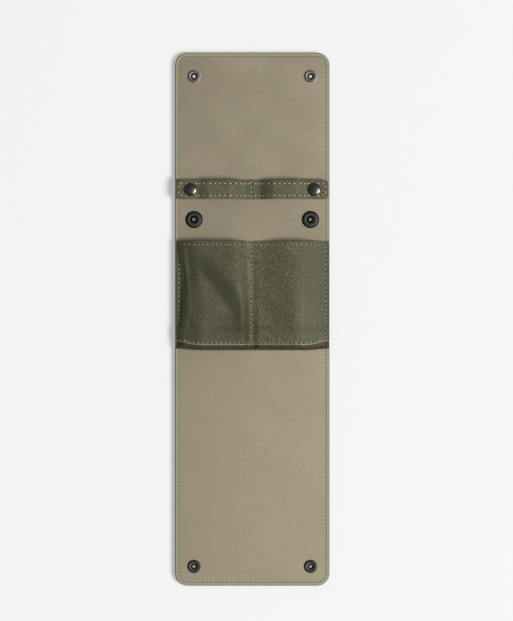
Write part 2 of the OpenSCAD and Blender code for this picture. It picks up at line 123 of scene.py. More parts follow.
class Wire:
    """A socket of a material, on which Python's operators add Math nodes."""

    def __init__(self, recipe: "Recipe", socket: bpy.types.NodeSocket) -> None:
        """Wraps a socket.

        Args:
            recipe: Material that the socket belongs to.
            socket: Output socket with a single value or a colour.
        """
        self.recipe = recipe
        self.socket = socket

    def maths(self, operation: str, *others: "Wire | float") -> "Wire":
        """Adds a Math node with this socket as its first value.

        Args:
            operation: Name of the Math node's operation.
            others: Its further values.

        Returns:
            The node's result.
        """
        return self.recipe.wire("ShaderNodeMath", {"operation": operation}, dict(enumerate((self, *others))))

    def __add__(self, other: "Wire | float") -> "Wire":
        """Sum."""
        return self.maths("ADD", other)

    def __radd__(self, other: float) -> "Wire":
        """Sum with a number on the left."""
        return self.maths("ADD", other)

    def __sub__(self, other: "Wire | float") -> "Wire":
        """Difference."""
        return self.maths("SUBTRACT", other)

    def __rsub__(self, other: float) -> "Wire":
        """Difference from a number."""
        return self.maths("MULTIPLY_ADD", -1.0, other)

    def __mul__(self, other: "Wire | float") -> "Wire":
        """Product."""
        return self.maths("MULTIPLY", other)

    def __rmul__(self, other: float) -> "Wire":
        """Product with a number on the left."""
        return self.maths("MULTIPLY", other)

    def __truediv__(self, other: "Wire | float") -> "Wire":
        """Quotient."""
        return self.maths("DIVIDE", other)

    def step(self, low: float, high: float) -> "Wire":
        """Smooth step of this value.

        Args:
            low: Value at which the result is 0.
            high: Value at which it is 1.

        Returns:
            The step, from 0 to 1.
        """
        settings = {"interpolation_type": "SMOOTHSTEP"}
        return self.recipe.wire("ShaderNodeMapRange", settings, {0: self, 1: low, 2: high, 3: 0.0, 4: 1.0})


class Recipe:
    """The node tree of one material."""

    def __init__(self, name: str) -> None:
        """Makes an empty material.

        Args:
            name: Its name.
        """
        self.material = bpy.data.materials.new(name)
        self.material.use_nodes = True
        self.tree = self.material.node_tree
        self.tree.nodes.clear()

    def node(self, kind: str, settings: dict[str, Any] | None = None,
             inputs: dict[str | int, Any] | None = None) -> bpy.types.Node:
        """Adds a node, sets it, then fills its sockets.

        Args:
            kind: Type of the node.
            settings: Its properties by name, set first.
            inputs: Values or wires by the socket's name or index.

        Returns:
            The node.
        """
        made = self.tree.nodes.new(kind)
        for name, value in (settings or {}).items():
            setattr(made, name, value)
        for key, value in (inputs or {}).items():
            if isinstance(value, Wire):
                self.tree.links.new(value.socket, made.inputs[key])
            else:
                made.inputs[key].default_value = value
        return made

    def wire(self, kind: str, settings: dict[str, Any] | None = None,
             inputs: dict[str | int, Any] | None = None, out: str | int = 0) -> Wire:
        """Adds a node and returns one of its outputs.

        Args:
            kind: Type of the node.
            settings: Its properties by name.
            inputs: Values or wires by the socket's name or index.
            out: Name or index of the output.

        Returns:
            The output, wrapped.
        """
        return Wire(self, self.node(kind, settings, inputs).outputs[out])

    def place(self) -> Wire:
        """Object coordinates, which are the row frame's metres."""
        return self.wire("ShaderNodeTexCoord", out="Object")

    def noise(self, at: Wire, per_metre: float, detail: float = 3.0, roughness: float = 0.5) -> Wire:
        """Cloudy noise.

        Args:
            at: Coordinates.
            per_metre: Blotches in a metre.
            detail: Octaves.
            roughness: Weight of the finer octaves.

        Returns:
            Its value, about 0.5 on average.
        """
        return self.wire("ShaderNodeTexNoise", None,
                         {"Vector": at, "Scale": per_metre, "Detail": detail, "Roughness": roughness})

    def cells(self, at: Wire, per_metre: float) -> Wire:
        """Cell pattern, as of pebbled leather.

        Args:
            at: Coordinates.
            per_metre: Cells in a metre.

        Returns:
            Distance to the cell's edge.
        """
        return self.wire("ShaderNodeTexVoronoi", {"feature": "DISTANCE_TO_EDGE"},
                         {"Vector": at, "Scale": per_metre}, out="Distance")

    def axes(self, at: Wire) -> tuple[Wire, Wire, Wire]:
        """Splits coordinates.

        Args:
            at: Coordinates.

        Returns:
            The place across the panel, the place along it and the height.
        """
        outputs = self.node("ShaderNodeSeparateXYZ", None, {0: at}).outputs
        return Wire(self, outputs[0]), Wire(self, outputs[1]), Wire(self, outputs[2])

    def vectors(self, operation: str, *values: Wire | Sequence[float], out: str | int = 0) -> Wire:
        """Adds a Vector Math node.

        Args:
            operation: Name of its operation.
            values: Its vectors.
            out: Name or index of the output.

        Returns:
            The node's result.
        """
        return self.wire("ShaderNodeVectorMath", {"operation": operation}, dict(enumerate(values)), out)

    def lengthways(self, at: Wire, times: float) -> Wire:
        """Coordinates on which a pattern comes out longer along the panel than across it.

        Args:
            at: Coordinates.
            times: How many times longer.

        Returns:
            The new coordinates.
        """
        return self.wire("ShaderNodeMapping", None, {"Vector": at, "Scale": (1.0, 1 / times, 1.0)})

    def mix(self, share: Wire | float, low: Wire | Colour, high: Wire | Colour) -> Wire:
        """Blend of two colours.

        Args:
            share: Share of the second.
            low: First colour.
            high: Second colour.

        Returns:
            The blend.
        """
        return self.wire("ShaderNodeMix", {"data_type": "RGBA"}, {0: share, 6: low, 7: high}, out=2)

    def bump(self, height: Wire, depth_mm: float, strength: float = 1.0, under: Wire | None = None) -> Wire:
        """Relief of the surface.

        Args:
            height: Relief from 0 to 1.
            depth_mm: Its real depth in millimetres.
            strength: Share of it that shows.
            under: Relief that this one lies on.

        Returns:
            The bent normal.
        """
        inputs: dict[str | int, Any] = {"Strength": strength, "Distance": depth_mm * MM, "Height": height}
        if under is not None:
            inputs["Normal"] = under
        return self.wire("ShaderNodeBump", None, inputs, out="Normal")

    def finish(self, **inputs: Any) -> bpy.types.Material:
        """Closes the recipe with a Principled shader.

        Args:
            inputs: The shader's sockets, with _ for a space.

        Returns:
            The material.
        """
        named = {key.replace("_", " "): value for key, value in inputs.items()}
        shader = self.wire("ShaderNodeBsdfPrincipled", None, named)
        self.node("ShaderNodeOutputMaterial", None, {"Surface": shader})
        return self.material


@dataclass(frozen=True)
class Suede:
    """Short-napped suede with faint blotches and a paler rim outside its seam."""

    name: str = "beige_suede"
    base: Colour = srgb(151, 139, 118)
    cool: Colour = srgb(147, 139, 117)
    worn: Colour = srgb(165, 154, 132)
    shaded: Colour = srgb(132, 122, 103)
    rim: Colour = srgb(160, 158, 131)
    rim_soft: float = 0.3 * MM
    paler_below: float = -80 * MM
    plain_above: float = 40 * MM
    clouds_per_metre: float = 26.0
    drift_per_metre: float = 44.0
    mottle_per_metre: float = 330.0
    nap_per_metre: float = 5200.0
    mottle_mm: float = 0.05
    nap_mm: float = 0.09

    def make(self, half_width: float, half_length: float, corner: float,
             rim_width: float) -> bpy.types.Material:
        """Makes the material.

        Args:
            half_width: Half of the panel's width in metres.
            half_length: Half of its length.
            corner: Radius of its corners.
            rim_width: Width of the rim outside the seam.

        Returns:
            The material.
        """
        r = Recipe(self.name)
        at = r.place()
        core = (half_width - corner, half_length - corner, 1.0)
        past = r.vectors("SUBTRACT", r.vectors("ABSOLUTE", at), core)
        reach = r.vectors("LENGTH", r.vectors("MAXIMUM", past, (0.0, 0.0, 0.0)), out="Value")
        past_x, past_y, _ = r.axes(past)
        inner = past_x.maths("MAXIMUM", past_y).maths("MINIMUM", 0.0)
        rim_start = corner - rim_width
        edge = (reach + inner).step(rim_start - self.rim_soft, rim_start + self.rim_soft)
        clouds = r.noise(at, self.clouds_per_metre, 4, 0.55)
        drift = r.noise(at, self.drift_per_metre, 2, 0.5)
        mottle = r.noise(at, self.mottle_per_metre, 3, 0.6)
        nap = r.noise(at, self.nap_per_metre, 2, 0.7)
        _, along, _ = r.axes(at)
        # The suede grows paler towards the long flap's end.
        lower = 1 - along.step(self.paler_below, self.plain_above)
        tone = r.mix(drift.step(0.42, 0.6), self.base, self.cool)
        tone = r.mix(clouds.step(0.4, 0.7) * 0.6, tone, self.worn)
        tone = r.mix(lower * 0.65, tone, self.worn)
        tone = r.mix(mottle.step(0.45, 0.75) * 0.18, tone, self.shaded)
        tone = r.mix(edge * 0.75, tone, self.rim)
        tone = r.mix(nap.step(0.35, 0.75) * 0.16, tone, self.shaded)
        soft = r.bump(mottle, self.mottle_mm, 0.35)
        fine = r.bump(nap, self.nap_mm, 0.6, soft)
        return r.finish(Base_Color=tone, Roughness=0.9 + 0.08 * nap, Specular_IOR_Level=0.15,
                        Sheen_Weight=0.12, Sheen_Roughness=0.6, Normal=fine)


@dataclass(frozen=True)
class PebbledLeather:
    """Olive leather with a fine, drawn-out pebble grain, pale flecks of painted sheen, and darker creases
    that are partly painted shade.
    """

    name: str
    base: Colour = srgb(94, 92, 67)
    raised: Colour = srgb(104, 102, 76)
    # The pale fleck colour is painted sheen; the crease colour is partly the creases' own tone and partly
    # painted shade.
    sheen_fleck: Colour = srgb(136, 132, 103)
    crease_and_shade: Colour = srgb(62, 61, 39)
    pebble_mm: float = 0.95
    drawn_out: float = 2.6
    depth_mm: float = 0.12
    roughness: float = 0.44
    sheen_share: float = 0.75
    wander_mm: float = 0.7
    wander_per_metre: float = 700.0
    flecks_per_metre: float = 1200.0
    patches_per_metre: float = 38.0
    clouds_per_metre: float = 48.0
    pores_per_metre: float = 6500.0
    pore_mm: float = 0.03

    def shade(self, r: Recipe, at: Wire, tone: Wire) -> tuple[Wire, Wire | float, Wire | float]:
        """Shades the leather before its flecks, which a plain one leaves out.

        Args:
            r: The recipe.
            at: Coordinates.
            tone: Tone of the leather.

        Returns:
            The shaded tone, the share of all flecks that shows, and the strength of the painted sheen flecks.
        """
        return tone, 1.0, self.sheen_share

    def make(self) -> bpy.types.Material:
        """Makes the material.

        Returns:
            The material.
        """
        r = Recipe(self.name)
        at = r.place()
        bend = r.wire("ShaderNodeTexNoise", None,
                      {"Vector": at, "Scale": self.wander_per_metre, "Detail": 2.0}, out="Color")
        shift = r.wire("ShaderNodeVectorMath", {"operation": "SCALE"},
                       {0: bend, "Scale": self.wander_mm * MM})
        long = r.lengthways(r.vectors("ADD", at, shift), self.drawn_out)
        grain = r.cells(long, 1 / (self.pebble_mm * MM)).step(0.0, 0.32)
        flecks = r.noise(long, self.flecks_per_metre, 2, 0.65)
        patches = r.noise(at, self.patches_per_metre, 2, 0.5)
        pores = r.noise(at, self.pores_per_metre, 2, 0.6)
        clouds = r.noise(at, self.clouds_per_metre, 4, 0.55)
        plain = r.mix(clouds.step(0.35, 0.68), self.base, self.raised)
        tone, showing, sheen_share = self.shade(r, at, plain)
        seen = (0.45 + 0.55 * patches.step(0.38, 0.58)) * showing
        # Pale flecks are painted sheen on the raised pebbles; the dark flecks and darker grain creases are
        # partly painted shade.
        tone = r.mix(flecks.step(0.5, 0.66) * seen * sheen_share, tone, self.sheen_fleck)
        tone = r.mix((1 - flecks.step(0.36, 0.5)) * seen * 0.6, tone, self.crease_and_shade)
        tone = r.mix((1 - grain) * 0.45, tone, self.crease_and_shade)
        shine = self.roughness + 0.16 * (1 - grain) + 0.08 * clouds
        relief = r.bump(grain, self.depth_mm, 0.8)
        fine = r.bump(pores, self.pore_mm, 0.5, relief)
        return r.finish(Base_Color=tone, Roughness=shine, Specular_IOR_Level=0.3, Normal=fine)


@dataclass(frozen=True)
class PocketLeather(PebbledLeather):
    """Leather of the pocket front, with painted shade on the left, at the lower left, at the right side, in
    its hollow and along its left edge; its painted sheen thins out in the same places.
    """

    base: Colour = srgb(99, 98, 74)
    raised: Colour = srgb(109, 108, 83)
    # The shares and spans below place the painted shade, and set where the painted sheen thins out.
    left_shade_share: float = 0.62
    right_shade_share: float = 0.33
    shade_band_share: float = 0.7
    left_fade: tuple[float, float] = (-17 * MM, -1 * MM)
    low_left_fade: tuple[float, float] = (-3 * MM, 0.0)
    low_left_top: tuple[float, float] = (0.0, 30 * MM)
    right_start: tuple[float, float] = (32 * MM, 40 * MM)
    right_sheen_fade: tuple[float, float] = (29 * MM, 37 * MM)
    edge_fade: tuple[float, float] = (-43 * MM, -33 * MM)
    hollow_start: tuple[float, float] = (-39.5 * MM, 44.4 * MM)
    hollow_end: tuple[float, float] = (-4.5 * MM, -6.3 * MM)
    hollow_bow: float = 4.3 * MM
    hollow_half: float = 6.5 * MM
    hollow_soft: float = 4.0 * MM
    hollow_fade_in: tuple[float, float] = (-0.35, 0.0)
    hollow_fade_out: tuple[float, float] = (0.95, 1.2)

    def shade_band(self, across: Wire, along: Wire) -> Wire:
        """Share of the pocket's hollow and left edge, which take painted shade and little painted sheen.

        Args:
            across: Place across the panel.
            along: Place along it.

        Returns:
            The share, from 0 to 1.
        """
        (x, y), half, soft = self.hollow_start, self.hollow_half, self.hollow_soft
        dx, dy = self.hollow_end[0] - x, self.hollow_end[1] - y
        span = math.hypot(dx, dy)
        run = ((across - x) * dx + (along - y) * dy) / span ** 2
        held = run.maths("MAXIMUM", 0.0).maths("MINIMUM", 1.0)
        off = ((across - x) * dy - (along - y) * dx) / span + held * (1 - held) * (4 * self.hollow_bow)
        beside = off.step(-half - soft, -half + soft) * (1 - off.step(half - soft, half + soft))
        hollow = beside * run.step(*self.hollow_fade_in) * (1 - run.step(*self.hollow_fade_out))
        return hollow.maths("MAXIMUM", 1 - across.step(*self.edge_fade))

    def shade(self, r: Recipe, at: Wire, tone: Wire) -> tuple[Wire, Wire | float, Wire | float]:
        """Paints shade on the leather before its flecks, and thins out its painted sheen on the left, in the
        hollow, along the left edge and on the right side.

        Args:
            r: The recipe.
            at: Coordinates.
            tone: Tone of the leather.

        Returns:
            The tone with painted shade, the share of all flecks that shows, and the strength of the painted
            sheen flecks.
        """
        across, along, _ = r.axes(at)
        low_left = (1 - across.step(*self.low_left_fade)) * (1 - along.step(*self.low_left_top))
        left = (1 - across.step(*self.left_fade)).maths("MAXIMUM", low_left)
        right = across.step(*self.right_start)
        # Painted shade on the left, at the lower left and at the right side.
        tone = r.mix(left * self.left_shade_share + right * self.right_shade_share, tone, self.crease_and_shade)
        shade_band = self.shade_band(across, along)
        # Painted shade in the hollow and along the left edge.
        tone = r.mix(shade_band * self.shade_band_share * 0.5, tone, self.crease_and_shade)
        # The flecks, and with them the painted sheen, thin out in the hollow, along the left edge and on the
        # right side.
        sheen_left_out = shade_band.maths("MAXIMUM", across.step(*self.right_sheen_fade)) * self.shade_band_share
        return tone, 1 - sheen_left_out, self.sheen_share - 0.4 * self.left_shade_share * left


@dataclass(frozen=True)
class EdgePaint:
    """Painted cut edge of the leather, slightly uneven."""

    name: str = "painted_edge"
    base: Colour = srgb(66, 68, 50)
    scuffed: Colour = srgb(92, 94, 72)

    def make(self) -> bpy.types.Material:
        """Makes the material.

        Returns:
            The material.
        """
        r = Recipe(self.name)
        at = r.place()
        uneven = r.noise(at, 420, 3, 0.6)
        tone = r.mix(uneven.step(0.5, 0.72) * 0.6, self.base, self.scuffed)
        return r.finish(Base_Color=tone, Roughness=0.45 + 0.2 * uneven, Normal=r.bump(uneven, 0.12, 0.6))


@dataclass(frozen=True)
class Thread:
    """Twisted sewing thread, with painted shade in its twist's grooves."""

    name: str
    base: Colour = srgb(176, 176, 150)
    hollow: Colour = srgb(120, 120, 98)

    def make(self) -> bpy.types.Material:
        """Makes the material.

        Returns:
            The material.
        """
        r = Recipe(self.name)
        at = r.place()
        twist = r.wire("ShaderNodeTexWave", {"wave_type": "BANDS", "bands_direction": "DIAGONAL"},
                       {"Vector": at, "Scale": 900.0, "Distortion": 1.5}, out="Fac")
        fuzz = r.noise(at, 3000, 2, 0.6)
        # Painted shade: the thread is darker in its twist's grooves.
        tone = r.mix(twist * 0.5 + 0.2 * fuzz, self.base, self.hollow)
        return r.finish(Base_Color=tone, Roughness=0.7 + 0.15 * fuzz, Normal=r.bump(twist, 0.05, 0.7))


@dataclass(frozen=True)
class HoleShade:
    """Painted shade of a needle hole: a dark disc stands for its shaded inside."""

    name: str
    base: Colour = srgb(44, 43, 34)
    deep: Colour = srgb(24, 24, 19)

    def make(self) -> bpy.types.Material:
        """Makes the material.

        Returns:
            The material.
        """
        r = Recipe(self.name)
        fibre = r.noise(r.place(), 2500, 2, 0.6)
        # Painted shade: the disc is dark as a hole's inside.
        return r.finish(Base_Color=r.mix(fibre, self.base, self.deep), Roughness=0.9 + 0.08 * fibre)


def plating_marks(r: Recipe, at: Wire) -> tuple[Wire, Wire]:
    """Patterns of the handling wear and of the fine turning marks on plated metal."""
    return r.noise(at, 900, 4, 0.6), r.noise(at, 5000, 2, 0.5)


@dataclass(frozen=True)
class PlatedMetal:
    """Plated snap metal, with fine turning marks and handling wear."""

    name: str
    base: Colour
    worn: Colour
    roughness: float = 0.32
    metallic: float = 1.0
    painted_glint: Colour = srgb(240, 240, 236)
    glint_heights: tuple[float, float] | None = None

    def make(self) -> bpy.types.Material:
        """Makes the material, with a painted glint past two heights if they are given.

        Returns:
            The material.
        """
        r = Recipe(self.name)
        at = r.place()
        wear, scratch = plating_marks(r, at)
        tone = r.mix(wear.step(0.52, 0.74) * 0.7, self.base, self.worn)
        metal: Wire | float = self.metallic
        if self.glint_heights:
            # Painted glint on the post's end, less metallic there so that it shows bright.
            end = r.axes(at)[2].step(*self.glint_heights)
            tone = r.mix(end, tone, self.painted_glint)
            metal = self.metallic - 0.5 * end
        shine = self.roughness + 0.18 * (wear - 0.5) + 0.10 * scratch
        return r.finish(Base_Color=tone, Metallic=metal, Roughness=shine, Normal=r.bump(scratch, 0.01, 0.4))


@dataclass(frozen=True)
class RingShadedPlating:
    """Plated metal of a turned snap part, with painted light and shade in rings round its axis, whose radii
    are in millimetres.
    """

    name: str
    across: float
    along: float
    rings: tuple[tuple[float, Colour], ...]
    outermost: Colour
    roughness: float = 0.34
    ring_soft: float = 0.07

    def make(self) -> bpy.types.Material:
        """Makes the material for a pair of snaps, one on each side of the middle.

        Returns:
            The material.
        """
        r = Recipe(self.name)
        at = r.place()
        across, along, _ = r.axes(at)
        x, y = across.maths("ABSOLUTE") - self.across, along - self.along
        radius = (x * x + y * y).maths("SQRT")
        wear, scratch = plating_marks(r, at)
        # The rings paint light and shade round the snap's axis.
        tone: Wire | Colour = self.rings[0][1]
        colours = [ring[1] for ring in self.rings[1:]] + [self.outermost]
        for (reach, _), colour in zip(self.rings, colours):
            low, high = (reach - self.ring_soft) * MM, (reach + self.ring_soft) * MM
            tone = r.mix(radius.step(low, high), tone, colour)
        tone = r.mix(wear.step(0.5, 0.75) * 0.25, tone, self.outermost)
        shine = self.roughness + 0.16 * (wear - 0.5) + 0.08 * scratch
        return r.finish(Base_Color=tone, Metallic=1.0, Roughness=shine, Normal=r.bump(scratch, 0.01, 0.4))


@dataclass(frozen=True)
class Fibreboard:
    """Grey fibreboard of the stiffening boards."""

    name: str = "grey_fibreboard"
    base: Colour = srgb(118, 113, 103)
    fibre: Colour = srgb(88, 82, 72)

    def make(self) -> bpy.types.Material:
        """Makes the material.

        Returns:
            The material.
        """
        r = Recipe(self.name)
        at = r.place()
        strands = r.noise(r.lengthways(at, 4.0), 2200, 4, 0.65)
        tone = r.mix(strands.step(0.4, 0.7), self.base, self.fibre)
        return r.finish(Base_Color=tone, Roughness=0.85 + 0.1 * strands, Normal=r.bump(strands, 0.05, 0.6))


class Finishes:
    """All the materials of the roll, made once."""

    def __init__(self, panel: "Panel") -> None:
        """Makes each finish.

        Args:
            panel: The panel, whose outline places the suede's rim.
        """
        self.suede = Suede().make(panel.half_width, panel.half_length, panel.corner, panel.seam_in)
        self.outer = PebbledLeather("outer_leather").make()
        self.olive = PocketLeather("pocket_leather").make()
        self.strap = PebbledLeather("strap_leather", srgb(92, 90, 66), srgb(101, 99, 74),
                                    drawn_out=1.3).make()
        # Painted shade: the gusset's leather is darker than the front's, standing in for the shade under the
        # front's edge.
        self.gusset = PebbledLeather("gusset_leather", srgb(66, 58, 38), srgb(78, 70, 48), srgb(98, 90, 66),
                                     srgb(44, 38, 25)).make()
        self.raw_edge = EdgePaint("raw_edge", srgb(128, 124, 98), srgb(106, 102, 79)).make()
        self.backing = PebbledLeather("backing_leather", srgb(68, 69, 52), srgb(80, 80, 62), srgb(90, 90, 70),
                                      srgb(46, 47, 35), 0.8, 1.2, 0.05, 0.7).make()
        self.edge = EdgePaint().make()
        self.thread = Thread("pale_thread").make()
        self.border_thread = Thread("border_thread", srgb(70, 66, 48), srgb(46, 44, 32)).make()
        # Painted shade: the foot's thread is darker than the other threads.
        self.foot_thread = Thread("foot_thread", srgb(112, 110, 84), srgb(76, 75, 56)).make()
        self.strap_thread = Thread("strap_thread", srgb(204, 202, 178), srgb(150, 148, 124)).make()
        self.hole = HoleShade("needle_hole").make()
        # Partly painted highlight: the posts are pale and half metallic, so that their ends show as a bright
        # dot.
        self.bright = PlatedMetal("post_plating", srgb(168, 168, 164), srgb(140, 139, 132), 0.3, 0.5).make()
        self.bronze = PlatedMetal("spring_bronze", srgb(78, 68, 48), srgb(58, 50, 36), 0.45).make()
        self.board = Fibreboard().make()

    @staticmethod
    def cap(name: str, glint_heights: tuple[float, float]) -> bpy.types.Material:
        """Gunmetal of a pair of caps, whose posts end in a painted glint between the two heights."""
        return PlatedMetal(f"gunmetal_{name}", srgb(84, 86, 84), srgb(112, 112, 108), 0.24,
                           glint_heights=glint_heights).make()

    @staticmethod
    def stud(name: str, place: Vector) -> bpy.types.Material:
        """Plating of a pair of studs, with painted light in rings: a painted highlight on the nub, painted
        shade in the groove round it and at the flange's rim, and a matt flange.

        Args:
            name: Name of the pair's place on the roll.
            place: Middle of the right one.

        Returns:
            The material.
        """
        # Painted highlight on the nub's top, painted shade in the groove round it and at the flange's rim.
        rings = ((1.3, srgb(112, 110, 102)), (2.7, srgb(20, 21, 20)), (5.0, srgb(74, 77, 74)))
        return RingShadedPlating(f"stud_plating_{name}", abs(place.x), place.y, rings, srgb(24, 25, 24),
                             0.36).make()

    @staticmethod
    def socket(name: str, place: Vector) -> bpy.types.Material:
        """Plating of a pair of sockets, with painted light in rings: painted shade in the mouth and round the
        bead, and on the short flap a paler bead and flange as painted highlight.

        Args:
            name: Name of the pair's place on the roll.
            place: Middle of the right one.

        Returns:
            The material.
        """
        bead, flange = srgb(76, 78, 76), srgb(70, 68, 60)
        # Painted highlight: on the short flap the bead and flange are paler copies of the others.
        if name == "top":
            bead, flange = srgb(122, 124, 122), srgb(158, 154, 138)
        # Painted shade in the mouth and in the ring round the bead.
        rings = ((2.5, srgb(18, 18, 18)), (3.75, bead), (4.15, srgb(24, 24, 20)))
        return RingShadedPlating(f"socket_plating_{name}", abs(place.x), place.y, rings, flange, 0.45).make()


class Bench:
    """Selection and edit-mode steps that all pieces share."""

    @staticmethod
    def take(piece: bpy.types.Object) -> None:
        """Makes a piece the only selected and the active one.

        Args:
            piece: The piece.
        """
        bpy.ops.object.select_all(action="DESELECT")
        piece.select_set(True)
        bpy.context.view_layer.objects.active = piece

    @staticmethod
    def name(piece_name: str) -> bpy.types.Object:
        """Names the object that an operator has just added.

        Args:
            piece_name: Its name.

        Returns:
            The piece.
        """
        piece = bpy.context.object
        piece.name = piece_name
        piece.data.name = piece_name
        return piece

    @staticmethod
    def open(piece: bpy.types.Object) -> None:
        """Goes into edit mode on a piece, with nothing selected.

        Args:
            piece: The piece.
        """
        Bench.take(piece)
        bpy.ops.object.mode_set(mode="EDIT")
        bpy.ops.mesh.select_all(action="DESELECT")

    @staticmethod
    def close() -> None:
        """Goes back to object mode."""
        bpy.ops.object.mode_set(mode="OBJECT")

    @staticmethod
    def rectangle(name: str, half_x: float, half_y: float,
                  middle: tuple[float, float, float]) -> bpy.types.Object:
        """Adds a flat rectangle and leaves it in edit mode, all selected.

        Args:
            name: Name of the piece.
            half_x: Half of its size across the panel.
            half_y: Half of its size along the panel.
            middle: Its middle.

        Returns:
            The piece.
        """
        bpy.ops.object.select_all(action="DESELECT")
        bpy.ops.mesh.primitive_plane_add(size=2)
        piece = Bench.name(name)
        Bench.open(piece)
        bpy.ops.mesh.select_all(action="SELECT")
        bpy.ops.transform.resize(value=(half_x, half_y, 1.0))
        bpy.ops.transform.translate(value=middle)
        return piece

    @staticmethod
    def face_outwards(piece: bpy.types.Object) -> None:
        """Turns all faces of a closed piece outwards.

        Args:
            piece: The piece.
        """
        Bench.open(piece)
        bpy.ops.mesh.select_all(action="SELECT")
        bpy.ops.mesh.normals_make_consistent(inside=False)
        Bench.close()

    @staticmethod
    def join_up(name: str, points: np.ndarray, faces: list[tuple[int, ...]]) -> bpy.types.Object:
        """Makes a smooth, closed piece of points and faces.

        Args:
            name: Name of the piece.
            points: Its points.
            faces: The points of each face.

        Returns:
            The piece.
        """
        mesh = bpy.data.meshes.new(name)
        mesh.from_pydata(points.tolist(), [], faces)
        piece = bpy.data.objects.new(name, mesh)
        bpy.context.scene.collection.objects.link(piece)
        Bench.face_outwards(piece)
        Bench.smooth(piece, 50)
        return piece

    @staticmethod
    def round_edges(piece: bpy.types.Object, radius: float, segments: int) -> None:
        """Rounds a piece's sharp edges.

        Args:
            piece: The piece.
            radius: Radius of the rounding.
            segments: Number of its facets.
        """
        Bench.apply(piece, "BEVEL", width=radius, segments=segments, limit_method="ANGLE",
                    angle_limit=math.radians(60))

    @staticmethod
    def pick_points(piece: bpy.types.Object, test: Callable[[Vector], bool]) -> None:
        """Selects points by their place.

        Args:
            piece: Piece in edit mode.
            test: Whether a point at that place is taken.
        """
        bpy.ops.mesh.select_mode(type="VERT")
        mesh = bmesh.from_edit_mesh(piece.data)
        for point in mesh.verts:
            point.select = test(point.co)
        mesh.select_flush_mode()
        bmesh.update_edit_mesh(piece.data)

    @staticmethod
    def cut(place: Vector | tuple[float, float, float], normal: tuple[float, float, float],
            keep: int = 0) -> None:
        """Cuts all of the piece in edit mode with a plane.

        Args:
            place: Point on the plane.
            normal: Its normal.
            keep: 0 keeps both sides, 1 the side the normal points to, -1 the other.
        """
        bpy.ops.mesh.select_all(action="SELECT")
        bpy.ops.mesh.bisect(plane_co=place, plane_no=normal, use_fill=keep != 0,
                            clear_inner=keep > 0, clear_outer=keep < 0, threshold=1e-7)

    @staticmethod
    def apply(piece: bpy.types.Object, kind: str, **settings: Any) -> None:
        """Adds a modifier and applies it.

        Args:
            piece: The piece.
            kind: Type of the modifier.
            settings: Its properties.
        """
        Bench.take(piece)
        modifier = piece.modifiers.new(kind.lower(), kind)
        for key, value in settings.items():
            setattr(modifier, key, value)
        bpy.ops.object.modifier_apply(modifier=modifier.name)

    @staticmethod
    def smooth(piece: bpy.types.Object, degrees: float = 35) -> None:
        """Shades a piece smooth up to an angle."""
        Bench.take(piece)
        bpy.ops.object.shade_smooth_by_angle(angle=math.radians(degrees))

    @staticmethod
    def paint(piece: bpy.types.Object, materials: Sequence[bpy.types.Material],
              pick: Callable[[Vector, Vector], int] | None = None) -> None:
        """Gives a piece its materials.

        Args:
            piece: The piece.
            materials: Its material slots.
            pick: Slot for a face with that normal and middle; the first if not given.
        """
        piece.data.materials.clear()
        for material in materials:
            piece.data.materials.append(material)
        if pick:
            for face in piece.data.polygons:
                face.material_index = pick(face.normal, face.center)

    @staticmethod
    def copy(piece: bpy.types.Object, name: str) -> bpy.types.Object:
        """Copies a piece with a mesh of its own.

        Args:
            piece: The piece.
            name: Name of the copy.

        Returns:
            The copy.
        """
        twin = piece.copy()
        twin.data = piece.data.copy()
        twin.name = name
        twin.data.name = name
        bpy.context.scene.collection.objects.link(twin)
        return twin


def joint_place(name: str) -> Vector:
    """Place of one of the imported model's joints."""
    return Vector(next(j["pos_m"] for j in frame["joints"] if j["name"] == name))


@dataclass(frozen=True)
class Stretch:
    """A stretch of the panel round one joint."""

    name: str
    low: float
    high: float
    joint: str
    inner_body: str
    outer_body: str
    cad: tuple[str, ...]

    @property
    def outward(self) -> float:
        """1 where the outer body lies towards the short flap's end, or else -1."""
        return 1.0 if self.joint.startswith("top") else -1.0

    def hang(self, piece: bpy.types.Object, half_bend: float) -> None:
        """Bakes a piece's place into its points; the piece is not bent over the joint.

        Args:
            piece: The piece, which lies in this stretch.
            half_bend: Half the length over which it bends.
        """
        y = joint_place(self.joint).y
        step = half_bend * self.outward
        y - step
        y + step
        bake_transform(piece)


